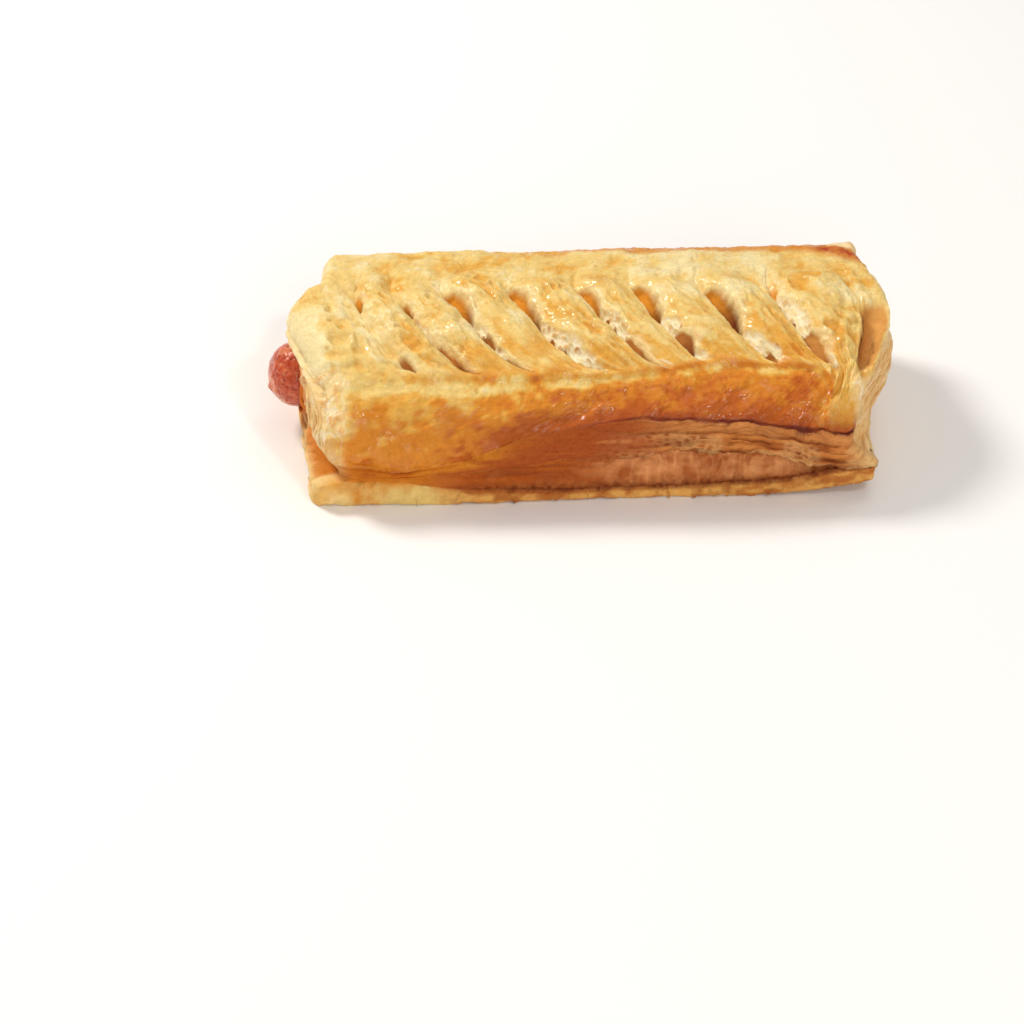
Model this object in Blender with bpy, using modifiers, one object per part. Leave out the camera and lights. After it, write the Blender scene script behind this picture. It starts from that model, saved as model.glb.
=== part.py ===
"""Sausage roll: a frankfurter baked in a slashed puff-pastry case.

The roll lies along X on its flat base, front side towards -Y, +Z up. The origin is the
centre of the bounding box's underside. The sausage runs through the pastry and shows its
rounded tip at the -X end. All sizes below are in millimetres.
"""

import math

import bmesh
import bpy
import numpy as np
from mathutils import Vector

MM = 0.001

# ---- pastry case -----------------------------------------------------------------
BASE_HALF_LENGTH = 87.0      # the bottom sheet, corner to centre
FRONT_Y = -40.4              # outermost line of the front side
BACK_Y = 42.4                # outermost line of the back side
CROWN_Z = 43.2               # highest line of the top sheet
CROWN_Y = 14.0
SHOULDER_FRONT = (-23.0, 36.2)
SHOULDER_BACK = (38.2, 39.0)
BASE_THICK = 3.8             # the browned bottom sheet's edge
BASE_THICK_LEFT = 8.4        # which is puffed up at the left end
EDGE_LOW = 12.2              # height of the top sheet's lower edge at the left end
EDGE_HIGH = 28.4             # at the middle of the front
EDGE_RIGHT = 22.4            # and at the right end
EDGE_BACK = 25.0
RECESS_LOW = 10.0            # height of the hollow recess under the layers, at the left end
RECESS_HIGH = 16.4           # at the middle
RECESS_RIGHT = 6.0           # and at the right end
RECESS_DEPTH = 3.9
LIP = 1.1                    # how far the top sheet's edge overhangs the layers under it
END_ROUND = 7.0              # rounding of the two ends' rims
CORNER_LIFT = 4.2            # the front right corner of the base curls up

RIM_STATIONS = (0.0, 0.7, 2.0, 4.0, 7.0)   # sections crowded at each end's rim
STRAND_STATIONS = 4          # sections from one slash to the next
END_RINGS = 4                # rings that close each end
TOP_POINTS = 10              # points across the top sheet
END_BLEND = 30.0             # the ends' bulges fade out over this length

# ---- slashes in the top sheet --------------------------------------------------------
SLASH_X = (-68.5, -56.0, -40.0, -19.0, 2.0, 19.0, 40.0, 60.0, 78.0)   # where each crosses y = 0
SLASH_Y = (14.5, -24.0)      # each runs from the back of the crown to the front shoulder
SLASH_SWEEP = 26.0           # and slants this far towards +X on the way
SLASH_HALF_WIDTH = (1.5, 1.7, 2.2, 2.1, 1.9, 2.3, 2.6, 2.2, 3.8)
SLASH_DEPTH = (4.2, 4.6, 6.0, 5.8, 5.2, 6.0, 6.6, 5.4, 7.4)
PINCH = 0.55                 # how much a slash closes up half way along
STRAND_SWELL = 3.0           # the strands between slashes puff up by this much

# ---- sausage ---------------------------------------------------------------------
SAUSAGE_R = 10.25
SAUSAGE_TIP_X = -100.0
SAUSAGE_END_X = 84.0
SAUSAGE_Y = 5.0
SAUSAGE_Z = 17.6
SAUSAGE_CAP = 9.5            # length of each rounded end
FIT_GAP = 0.35               # pastry to sausage
SAUSAGE_SIDES = 24


def smooth(a, b, v):
    t = min(1.0, max(0.0, (v - a) / (b - a)))
    return t * t * (3 - 2 * t)


def face_outward(bm):
    bmesh.ops.recalc_face_normals(bm, faces=bm.faces)
    if bm.calc_volume(signed=True) < 0:
        bmesh.ops.reverse_faces(bm, faces=bm.faces)


def edge_front(x):
    """Height of the top sheet's overhanging lower edge along the front side."""
    rise = (EDGE_HIGH - EDGE_LOW) * smooth(-66, -10, x)
    return EDGE_LOW + rise - (EDGE_HIGH - EDGE_RIGHT) * smooth(12, 92, x) + 0.3 * math.sin(x / 13.0)


def base_top(x):
    return BASE_THICK_LEFT + (BASE_THICK - BASE_THICK_LEFT) * smooth(-64, -40, x)


def recess_top(x):
    """Height of the recess's arch, which closes at both ends."""
    return RECESS_LOW + (RECESS_HIGH - RECESS_LOW) * smooth(-45, 28, x) - (RECESS_HIGH - RECESS_RIGHT) * smooth(34, 84, x)


def recess_depth(x):
    return 0.5 + (RECESS_DEPTH - 0.5) * smooth(-64, -24, x) * (1 - 0.6 * smooth(66, 84, x))


def edge_back(x):
    return EDGE_BACK + 1.4 * math.sin(x / 21.0 + 1.0)


def side(x, outer_y, sign, edge):
    """The layered side from the base up to the top sheet's edge, as (y, z). sign is -1 at the front."""
    thick, depth = base_top(x), recess_depth(x)
    top_of_recess = recess_top(x) if sign < 0 else thick + 0.42 * (edge - thick)
    hollow = outer_y - sign * depth
    rows = [
        (outer_y - sign * 3.6, 0.0),
        (outer_y - sign * 0.4, 0.9),
        (outer_y, thick * 0.6),
        (outer_y - sign * 0.3, thick),
        (hollow + sign * 0.25 * depth, thick + 0.7),
    ]
    for share in (0.35, 0.7):
        rows.append((hollow, thick + 0.8 + share * (top_of_recess - thick - 0.8)))
    for share, out in ((0.05, 0.45 * depth), (0.32, 0.3), (0.62, 0.1), (0.88, LIP + 0.5)):
        rows.append((outer_y - sign * out, top_of_recess + share * (edge - top_of_recess)))
    rows.append((outer_y - sign * 0.6, edge + 0.3))
    return rows


def band(outer_y, sign, edge, shoulder):
    """The top sheet's smooth egg-washed edge, rounding from its lower edge up to the shoulder."""
    rows = []
    for share in (0.16, 0.34, 0.52, 0.70, 0.86):
        z = edge + 0.3 + (shoulder[1] - edge - 0.3) * math.sin(share * math.pi / 2) ** 1.1
        y = outer_y - sign * 0.6 + (shoulder[0] - outer_y + sign * 0.6) * (
            1 - math.cos(share * math.pi / 2)
        )
        rows.append((y, z))
    return rows


def slash_along(y):
    """0 where a slash begins at the back of the crown, 1 where it ends at the front shoulder."""
    return min(1.0, max(0.0, (y - SLASH_Y[0]) / (SLASH_Y[1] - SLASH_Y[0])))


def slant(x, y, z):
    """How far the slashes' slant carries the section at x towards +X. It fades out down the sides and at the ends."""
    along = slash_along(y)
    start = slash_along(0.0)
    drift = SLASH_SWEEP * (0.65 * (along - start) + 0.35 * (along**5 - start**5))
    down_front = smooth(25.0, 35.5, z) if y < SLASH_Y[1] else 1.0
    down_back = 1 - smooth(SLASH_Y[0], BACK_Y - 4, y)
    ends = smooth(-105, -45, x) * (1 - smooth(38, 92, x))
    return drift * down_front * down_back * ends


def swell(x, y):
    """Height of the puffed strands above the slashes' valleys."""
    lines = [2 * SLASH_X[0] - SLASH_X[1] - 8] + list(SLASH_X) + [SLASH_X[-1] + 17]
    for a, b in zip(lines, lines[1:]):
        if a <= x <= b:
            hump = 1 - (1 - math.sin(math.pi * (x - a) / (b - a))) ** 2
            return STRAND_SWELL * (hump - 0.7) * smooth(20, 11, y) * smooth(-31, -22, y)
    return 0.0


def top_height(x, y):
    """Height of the top sheet at (x, y)."""
    rim = SHOULDER_FRONT if y < CROWN_Y else SHOULDER_BACK
    far = min(1.0, (y - CROWN_Y) / (rim[0] - CROWN_Y))
    return CROWN_Z - (CROWN_Z - rim[1]) * far**2.1 + 0.5 * math.sin(x / 17.0) + swell(x, y)


def section(x):
    """The case's outline across the roll at x, as (y, z), from the front of the base over the top to the back."""
    ef, eb = edge_front(x), edge_back(x)
    y_front = FRONT_Y + 0.6 * math.sin(x / 19.0 + 0.7)
    y_back = BACK_Y + 0.7 * math.sin(x / 24.0)
    front = side(x, y_front, -1, ef) + band(y_front, -1, ef, SHOULDER_FRONT)
    back = side(x, y_back, 1, eb) + band(y_back, 1, eb, SHOULDER_BACK)
    top = []
    for i in range(TOP_POINTS):
        y = SHOULDER_FRONT[0] + i / (TOP_POINTS - 1) * (SHOULDER_BACK[0] - SHOULDER_FRONT[0])
        top.append((y, top_height(x, y)))
    underside = [(14.0, 0.0), (-12.0, 0.0)]
    return front + top + back[::-1] + underside


def left_end(y, z):
    """x of the left end face: it bulges over the sausage and falls back at the corners."""
    bulge = 8.0 * math.exp(-(((y - 7) / 17) ** 2)) * smooth(2, 22, z)
    back_corner = 7.0 * smooth(22, 44, y) * smooth(8, 34, z)
    front_corner = 5.5 * smooth(-8, -40, y) * smooth(5, 15, z)
    return -BASE_HALF_LENGTH + 0.5 - bulge + back_corner + front_corner


def right_end(y, z):
    bulge = 7.6 * math.exp(-(((y - 5) / 24) ** 2)) * smooth(0, 18, z) * (1 - 0.35 * smooth(30, 44, z))
    front_corner = 3.0 * smooth(-12, -40, y) * smooth(5, 14, z)
    return BASE_HALF_LENGTH + 1.5 + bulge - front_corner


def rim_inset(distance):
    """How far the outline is drawn in at this distance from an end, for a rounded rim."""
    if distance >= END_ROUND:
        return 0.0
    return END_ROUND - math.sqrt(max(0.0, END_ROUND**2 - (END_ROUND - distance) ** 2))


def lift(x, y, z):
    """The front right corner of the base curls up off the table."""
    return CORNER_LIFT * smooth(66, 90, x) * smooth(-14, -38, y) * (1 - smooth(0, 22, z))


def place(x, y, z):
    """Carries a point of the section at x to its place: slanted with the slashes, and out to the bulged ends."""
    near_left = 1 - smooth(-BASE_HALF_LENGTH, -BASE_HALF_LENGTH + END_BLEND, x)
    near_right = smooth(BASE_HALF_LENGTH - END_BLEND, BASE_HALF_LENGTH, x)
    out = near_left * (left_end(y, z) + BASE_HALF_LENGTH) + near_right * (right_end(y, z) - BASE_HALF_LENGTH)
    return Vector((x + slant(x, y, z) + out, y, z + lift(x, y, z)))


def case_point(x, y, z, inset):
    mid_y, mid_z = (FRONT_Y + BACK_Y) / 2, 20.0
    y = mid_y + (y - mid_y) * (1 - inset / ((BACK_Y - FRONT_Y) / 2))
    if z > mid_z:
        z = mid_z + (z - mid_z) * (1 - inset / (CROWN_Z - mid_z))
    return place(x, y, z)


def build_case(collection, material):
    """A loft of unlike sections along X, closed by shrinking rings at both ends."""
    bm = bmesh.new()
    stations = [-BASE_HALF_LENGTH + r for r in RIM_STATIONS]
    stations.append((stations[-1] + SLASH_X[0]) / 2)
    for a, b in zip(SLASH_X, SLASH_X[1:]):
        stations += [a + (b - a) * i / STRAND_STATIONS for i in range(STRAND_STATIONS)]
    stations.append(SLASH_X[-1])
    stations += [BASE_HALF_LENGTH - r for r in RIM_STATIONS[::-1]]
    rings = []
    for x in stations:
        inset = rim_inset(BASE_HALF_LENGTH - abs(x))
        rings.append([bm.verts.new(case_point(x, y, z, inset) * MM) for y, z in section(x)])
    count = len(rings[0])
    for a, b in zip(rings, rings[1:]):
        for j in range(count):
            k = (j + 1) % count
            bm.faces.new((a[j], a[k], b[k], b[j]))
    for end, ring in ((left_end, rings[0]), (right_end, rings[-1])):
        centre = Vector((0, 3.0, 19.0)) * MM
        last = ring
        for step in range(1, END_RINGS + 1):
            shrink = 1 - step / END_RINGS
            fresh = []
            for v in ring:
                y = centre.y + (v.co.y - centre.y) * shrink
                z = centre.z + (v.co.z - centre.z) * shrink
                fresh.append(bm.verts.new((end(y / MM, z / MM) * MM, y, z)))
                if shrink == 0:
                    break
            for j in range(count):
                k = (j + 1) % count
                if shrink == 0:
                    bm.faces.new((last[j], last[k], fresh[0]))
                else:
                    bm.faces.new((last[j], last[k], fresh[k], fresh[j]))
            last = fresh
    bmesh.ops.triangulate(bm, faces=bm.faces)
    face_outward(bm)
    mesh = bpy.data.meshes.new("pastry")
    bm.to_mesh(mesh)
    bm.free()
    case = bpy.data.objects.new("pastry", mesh)
    case.data.materials.append(material)
    collection.objects.link(case)
    return case


def slash_cutter(index, collection):
    """A lens, bent along the slash: steep across the crown, flatter towards the front shoulder."""
    bm = bmesh.new()
    bmesh.ops.create_uvsphere(bm, u_segments=8, v_segments=14, radius=1.0)
    y0, y1 = SLASH_Y
    for v in bm.verts:
        along = (1 - v.co.z) / 2
        y = y0 + (y1 - y0) * along
        lobes = (1 - PINCH * math.exp(-(((along - 0.58) / 0.10) ** 2))) * (1.2 - 0.45 * along)
        ease = (1 - v.co.z**2) ** 0.15
        across = v.co.x * SLASH_HALF_WIDTH[index] * 1.25 * lobes * ease
        down = v.co.y * SLASH_DEPTH[index] * (0.55 + 0.45 * lobes) * ease
        line = place(SLASH_X[index], y, top_height(SLASH_X[index], y))
        v.co = (line + Vector((across * 0.86, across * 0.5, down))) * MM
    face_outward(bm)
    mesh = bpy.data.meshes.new(f"slash_{index}")
    bm.to_mesh(mesh)
    bm.free()
    cutter = bpy.data.objects.new(f"slash_{index}", mesh)
    collection.objects.link(cutter)
    cutter.hide_render = True
    cutter.display_type = "WIRE"
    return cutter


def sausage_profile(grow):
    """Half outline of the sausage, from one tip to the other, as (radius, height). grow is added all round."""
    radius = SAUSAGE_R + grow
    half = (SAUSAGE_END_X - SAUSAGE_TIP_X) / 2 + grow
    cap = SAUSAGE_CAP + grow
    steps = 6
    upper = []
    for i in range(steps + 1):
        a = i / steps * math.pi / 2
        upper.append((radius * math.sin(a) ** 0.85, half - cap + cap * math.cos(a) ** 0.9))
    upper[0] = (0.0, half)
    middle = [(radius, half * share) for share in (0.5, 0.0, -0.5)]
    return upper + middle + [(r, -z) for r, z in reversed(upper)]


def turned(name, grow, collection):
    """The sausage's profile turned about its axis, then laid along X."""
    points = sausage_profile(grow)
    mesh = bpy.data.meshes.new(name)
    mesh.from_pydata(
        [(r * MM, 0.0, z * MM) for r, z in points],
        [(i, i + 1) for i in range(len(points) - 1)],
        [],
    )
    piece = bpy.data.objects.new(name, mesh)
    collection.objects.link(piece)
    screw = piece.modifiers.new("turn", "SCREW")
    screw.axis = "Z"
    screw.angle = math.tau
    screw.steps = SAUSAGE_SIDES
    screw.render_steps = SAUSAGE_SIDES
    screw.use_merge_vertices = True
    screw.merge_threshold = 0.00001
    screw.use_smooth_shade = True
    piece.rotation_euler = (0.0, -math.pi / 2, 0.0)
    piece.location = (
        (SAUSAGE_TIP_X + SAUSAGE_END_X) / 2 * MM,
        SAUSAGE_Y * MM,
        SAUSAGE_Z * MM,
    )
    return piece


def principled(name, colour, roughness):
    material = bpy.data.materials.new(name)
    material.use_nodes = True
    shader = material.node_tree.nodes["Principled BSDF"]
    shader.inputs["Base Color"].default_value = (*colour, 1.0)
    shader.inputs["Roughness"].default_value = roughness
    shader.inputs["Metallic"].default_value = 0.0
    return material


def subtract(target, cutter):
    cut = target.modifiers.new(cutter.name, "BOOLEAN")
    cut.operation = "DIFFERENCE"
    cut.solver = "EXACT"
    cut.object = cutter


def main():
    for old in list(bpy.data.objects):
        bpy.data.objects.remove(old)
    scene = bpy.context.scene.collection
    parts = bpy.data.collections.new("sausage_roll")
    cutters = bpy.data.collections.new("cutters")
    scene.children.link(parts)
    scene.children.link(cutters)

    crust = principled("baked_pastry", (0.80, 0.50, 0.17), 0.45)
    meat = principled("sausage_skin", (0.48, 0.10, 0.06), 0.28)

    case = build_case(parts, crust)
    sausage = turned("sausage", 0.0, parts)
    sausage.data.materials.append(meat)
    tunnel = turned("tunnel", FIT_GAP, cutters)
    tunnel.hide_render = True
    tunnel.display_type = "WIRE"

    subtract(case, tunnel)
    for index in range(len(SLASH_X)):
        subtract(case, slash_cutter(index, cutters))

    # The origin goes to the centre of the bounding box's underside.
    bpy.context.view_layer.update()
    graph = bpy.context.evaluated_depsgraph_get()
    points = []
    for piece in (case, sausage):
        shape = piece.evaluated_get(graph)
        world = np.array(piece.matrix_world)
        co = np.array([v.co[:] for v in shape.data.vertices])
        points.append(co @ world[:3, :3].T + world[:3, 3])
    points = np.vstack(points)
    low, high = points.min(0), points.max(0)
    shift = Vector((-(low[0] + high[0]) / 2, -(low[1] + high[1]) / 2, -low[2]))
    for piece in list(parts.objects) + list(cutters.objects):
        piece.location += shift
    bpy.context.view_layer.update()


main()
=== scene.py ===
"""Looks of the sausage roll: a frankfurter baked in a slashed puff-pastry case.

Sizes are in millimetres in the roll's own layout (x along the roll, front side towards -y,
z up from the table), and shift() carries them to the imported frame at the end.
"""

import math

import bpy
import numpy as np
from mathutils import Matrix, Vector


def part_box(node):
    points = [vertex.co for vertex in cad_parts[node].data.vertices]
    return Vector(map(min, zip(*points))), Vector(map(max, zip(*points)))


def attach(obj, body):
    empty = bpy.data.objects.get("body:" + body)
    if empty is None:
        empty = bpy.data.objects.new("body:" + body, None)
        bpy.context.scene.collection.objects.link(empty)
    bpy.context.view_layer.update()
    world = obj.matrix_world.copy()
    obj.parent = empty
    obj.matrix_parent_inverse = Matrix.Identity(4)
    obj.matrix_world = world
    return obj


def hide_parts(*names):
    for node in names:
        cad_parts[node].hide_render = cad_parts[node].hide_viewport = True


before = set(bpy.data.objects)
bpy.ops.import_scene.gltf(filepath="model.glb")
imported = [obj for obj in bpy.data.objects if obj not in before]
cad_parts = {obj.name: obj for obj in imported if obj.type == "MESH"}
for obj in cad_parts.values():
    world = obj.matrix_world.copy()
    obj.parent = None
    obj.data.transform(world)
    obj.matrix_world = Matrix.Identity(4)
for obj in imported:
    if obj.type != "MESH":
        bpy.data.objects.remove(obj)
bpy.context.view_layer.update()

MM = 0.001
HALF = 87.0                       # half length of the bottom sheet
END_BLEND = 30.0
SLASH_X = (-68.5, -56.0, -40.0, -19.0, 2.0, 19.0, 40.0, 60.0, 78.0)
SLASH_BACK, SLASH_FRONT = 14.5, -24.0
SLASH_SWEEP = 26.0
SAUSAGE_R = 10.25
SAUSAGE_TIP_X, SAUSAGE_END_X = -100.0, 84.0
SAUSAGE_Y, SAUSAGE_Z = 5.0, 17.6

low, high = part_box("sausage")
SHIFT = np.array(
    [
        low.x / MM - SAUSAGE_TIP_X,
        (low.y + high.y) / 2 / MM - SAUSAGE_Y,
        (low.z + high.z) / 2 / MM - SAUSAGE_Z,
    ]
)


# ---- noise ---------------------------------------------------------------------------
def smooth(a, b, v):
    t = np.clip((v - a) / (b - a), 0.0, 1.0)
    return t * t * (3 - 2 * t)


def mix(a, b, t):
    return a + (b - a) * t


def hashed(ix, iy, iz, seed):
    """Whole numbers to a repeatable value from 0 to 1."""
    h = (
        ix.astype(np.int64) * 374761393
        + iy.astype(np.int64) * 668265263
        + iz.astype(np.int64) * 2147483647
        + seed * 1274126177
    ) & 0xFFFFFFFF
    h = ((h ^ (h >> 13)) * 1274126177) & 0xFFFFFFFF
    h = ((h ^ (h >> 16)) * 2246822519) & 0xFFFFFFFF
    h ^= h >> 15
    return (h & 0xFFFFFF) / float(0xFFFFFF)


def value_noise(x, y, z, seed=0):
    """Smooth noise from -1 to 1."""
    x, y, z = np.broadcast_arrays(
        np.asarray(x, float), np.asarray(y, float), np.asarray(z, float)
    )
    ix, iy, iz = np.floor(x), np.floor(y), np.floor(z)
    fx, fy, fz = x - ix, y - iy, z - iz
    fx, fy, fz = (f * f * f * (f * (f * 6 - 15) + 10) for f in (fx, fy, fz))
    total = 0.0
    for dx in (0, 1):
        wx = fx if dx else 1 - fx
        for dy in (0, 1):
            wy = fy if dy else 1 - fy
            for dz in (0, 1):
                wz = fz if dz else 1 - fz
                total = total + wx * wy * wz * hashed(ix + dx, iy + dy, iz + dz, seed)
    return total * 2 - 1


def fbm(x, y, z, octaves=4, seed=0, gain=0.5):
    total, size, top = 0.0, 1.0, 0.0
    for i in range(octaves):
        k = 2.03**i
        total = total + size * value_noise(x * k + 17.3 * i, y * k - 9.1 * i, z * k + 3.7 * i, seed + i)
        top += size
        size *= gain
    return total / top


def ridged(x, y, z, octaves=3, seed=0):
    """Thin bright lines on a dark ground, from 0 to 1."""
    total, size, top = 0.0, 1.0, 0.0
    for i in range(octaves):
        k = 2.1**i
        total = total + size * (1 - np.abs(value_noise(x * k, y * k, z * k + 5.1 * i, seed + i)) * 2.2).clip(0, 1)
        top += size
        size *= 0.5
    return total / top


def cells(x, y, z, seed=0, jitter=0.9):
    """Distances to the nearest and the second nearest scattered point, and the nearest one's own value."""
    x, y, z = np.broadcast_arrays(
        np.asarray(x, float), np.asarray(y, float), np.asarray(z, float)
    )
    ix, iy, iz = np.floor(x), np.floor(y), np.floor(z)
    first = np.full(x.shape, 9.0)
    second = np.full(x.shape, 9.0)
    own = np.zeros(x.shape)
    for dx in (-1, 0, 1):
        for dy in (-1, 0, 1):
            for dz in (-1, 0, 1):
                cx, cy, cz = ix + dx, iy + dy, iz + dz
                px = cx + 0.5 + jitter * (hashed(cx, cy, cz, seed) - 0.5)
                py = cy + 0.5 + jitter * (hashed(cx, cy, cz, seed + 1) - 0.5)
                pz = cz + 0.5 + jitter * (hashed(cx, cy, cz, seed + 2) - 0.5)
                d = np.sqrt((px - x) ** 2 + (py - y) ** 2 + (pz - z) ** 2)
                nearer = d < first
                second = np.where(nearer, first, np.minimum(second, d))
                own = np.where(nearer, hashed(cx, cy, cz, seed + 3), own)
                first = np.where(nearer, d, first)
    return first, second, own


# ---- the case's form -------------------------------------------------------------------
def slash_along(y):
    return np.clip((y - SLASH_BACK) / (SLASH_FRONT - SLASH_BACK), 0.0, 1.0)


def slant(x, y, z):
    along, start = slash_along(y), slash_along(0.0)
    drift = SLASH_SWEEP * (0.65 * (along - start) + 0.35 * (along**5 - start**5))
    down_front = np.where(y < SLASH_FRONT, smooth(23.0, 35.5, z), 1.0)
    down_back = 1 - smooth(SLASH_BACK, 38.4, y)
    ends = smooth(-105, -45, x) * (1 - smooth(38, 92, x))
    return drift * down_front * down_back * ends


def table(places, values, spread=3.0):
    """A curve through a few (place, value) pairs with its corners rounded off."""
    grid = np.arange(-110.0, 110.01, 0.25)
    raw = np.interp(grid, places, values)
    k = np.exp(-0.5 * (np.arange(-40, 41) * 0.25 / spread) ** 2)
    raw = np.convolve(np.pad(raw, 40, "edge"), k / k.sum(), "valid")
    return lambda v: np.interp(v, grid, raw)


# The top sheet's end outlines seen from above, as x against y. The left one bulges over the
# sausage and steps back beside it, and the right one slants back to the front corner.
LEFT_TOP = table(
    [-42, -38, -34, -28, -20, -12, -6, 0, 4, 8, 12, 15, 17, 20, 32, 44],
    [-82.5, -83.5, -85.7, -88.3, -90, -91.5, -93, -94.2, -94.2, -93, -90.5, -87, -84, -82, -81.3, -80.4],
    1.6,
)
RIGHT_TOP = table(
    [-42, -30, -22, -14.7, -6, 0, 5.6, 14.8, 24.5, 32.8, 39.5, 44],
    [76, 79, 84, 87.5, 91.7, 92.6, 93.1, 92, 89.7, 87.4, 88.4, 88.4],
    1.6,
)
RIGHT_MIDDLE = table(
    [-42, -38, -34, -24.5, -13.6, -3.3, 1.8, 10, 20, 30, 44],
    [75.5, 76.5, 78.2, 82.6, 88.6, 94.6, 96.0, 95.3, 93, 89.5, 86.5],
    2.0,
)
RIGHT_LOW = table([-42, -31, -20, -10, 0, 20, 44], [84.2, 85.2, 85.6, 87.2, 88.5, 88.5, 86.5])
# The left end again, lower down: drawn in beside the sausage, further in along the top sheet's
# lower edge, and out again at the bottom sheet.
LEFT_MIDDLE = table(
    [-42, -38.6, -34.4, -26, -20, -14.5, -6, 0, 5, 10.8, 15, 17, 20, 44],
    [-83.0, -84.2, -85.6, -87.2, -88.3, -89.0, -89.6, -89.7, -89.5, -89.0, -86.6, -84, -82.5, -80.5],
    1.6,
)
LEFT_EDGE = table([-42, -34.7, -29.5, -21.8, -12, 0, 12, 20, 44], [-79, -81, -83.6, -86.6, -88, -88.6, -87.5, -84, -82], 2.0)
LEFT_LOW = table([-42, -26, -5, 5, 20, 44], [-88.8, -89.2, -89.7, -89.5, -88, -86.8])


def left_end(y, z):
    lower = mix(LEFT_LOW(y), LEFT_EDGE(y), smooth(7.6, 9.4, z))
    return mix(mix(lower, LEFT_MIDDLE(y), smooth(10.5, 16.5, z)), LEFT_TOP(y), smooth(28.5, 35.0, z))


def right_end(y, z):
    low_part = mix(RIGHT_LOW(y), RIGHT_MIDDLE(y), smooth(8.0, 19.0, z))
    return mix(low_part, RIGHT_TOP(y), smooth(25.0, 34.0, z))


LIFT = table([48, 62, 79.5, 87, 95], [0.0, 1.4, 3.8, 4.8, 5.0], 2.5)
EDGE = table(
    [-90, -82, -77, -68, -59, -50, -42, -35, -27, -19, -8, 0, 10, 26, 41, 54, 66, 76, 90],
    [14.5, 14, 12.4, 11.8, 12.2, 13.9, 16, 19, 23, 25.8, 28.0, 28.6, 28.6, 27.7, 26.4, 25.3, 23.9, 22.8, 21.8],
)
RECESS = table(
    [-90, -70, -50, -30, -7, 5, 17, 31, 48, 60, 72, 82, 90],
    [10.2, 10.0, 10.4, 12.0, 14.2, 14.4, 14.9, 17.6, 15.8, 12.0, 8.4, 6.2, 5.8],
)
BASE_TOP = table([-90, -62, -42, -10, 10, 30, 45, 62, 82, 90], [8.6, 8.4, 3.9, 2.7, 2.6, 3.2, 3.8, 5.0, 5.6, 5.6], 4.0)
SHOULDER_Y = table([-90, -19, 0, 12, 31, 43, 90], [-25.0, -24.6, -23.0, -20.8, -20.2, -22.0, -24.0])


def lift(x, y, z):
    """The front right corner of the base curls up."""
    return LIFT(x) * smooth(-8, -36, y) * (1 - smooth(0, 22, z))


def place(x, y, z):
    near_left = 1 - smooth(-HALF, -HALF + END_BLEND, x)
    near_right = smooth(HALF - END_BLEND, HALF, x)
    out = near_left * (left_end(y, z) + HALF) + near_right * (right_end(y, z) - HALF)
    return np.stack([x + slant(x, y, z) + out, y, z + lift(x, y, z)], -1)


def edge_front(x):
    """Height of the top sheet's lower edge: it hangs low at the left end and steps up along the rest."""
    return EDGE(x) + 0.45 * value_noise(x / 9.0, 3.1, 0, 11) + 0.15 * value_noise(x / 3.0, 5.1, 0, 11)


def recess_top(x):
    """Height where the hollow under the layers ends: an arch that closes at both corners."""
    ragged = 0.9 * value_noise(x / 7.0, 8.2, 0, 12) + 0.45 * value_noise(x / 2.2, 8.2, 0, 16)
    return RECESS(x) + ragged * smooth(-50, -20, x) * smooth(84, 66, x)


def base_top(x):
    return BASE_TOP(x) + 0.35 * value_noise(x / 11.0, 1.7, 0, 13) + 0.2 * value_noise(x / 3.0, 2.7, 0, 14)


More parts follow.
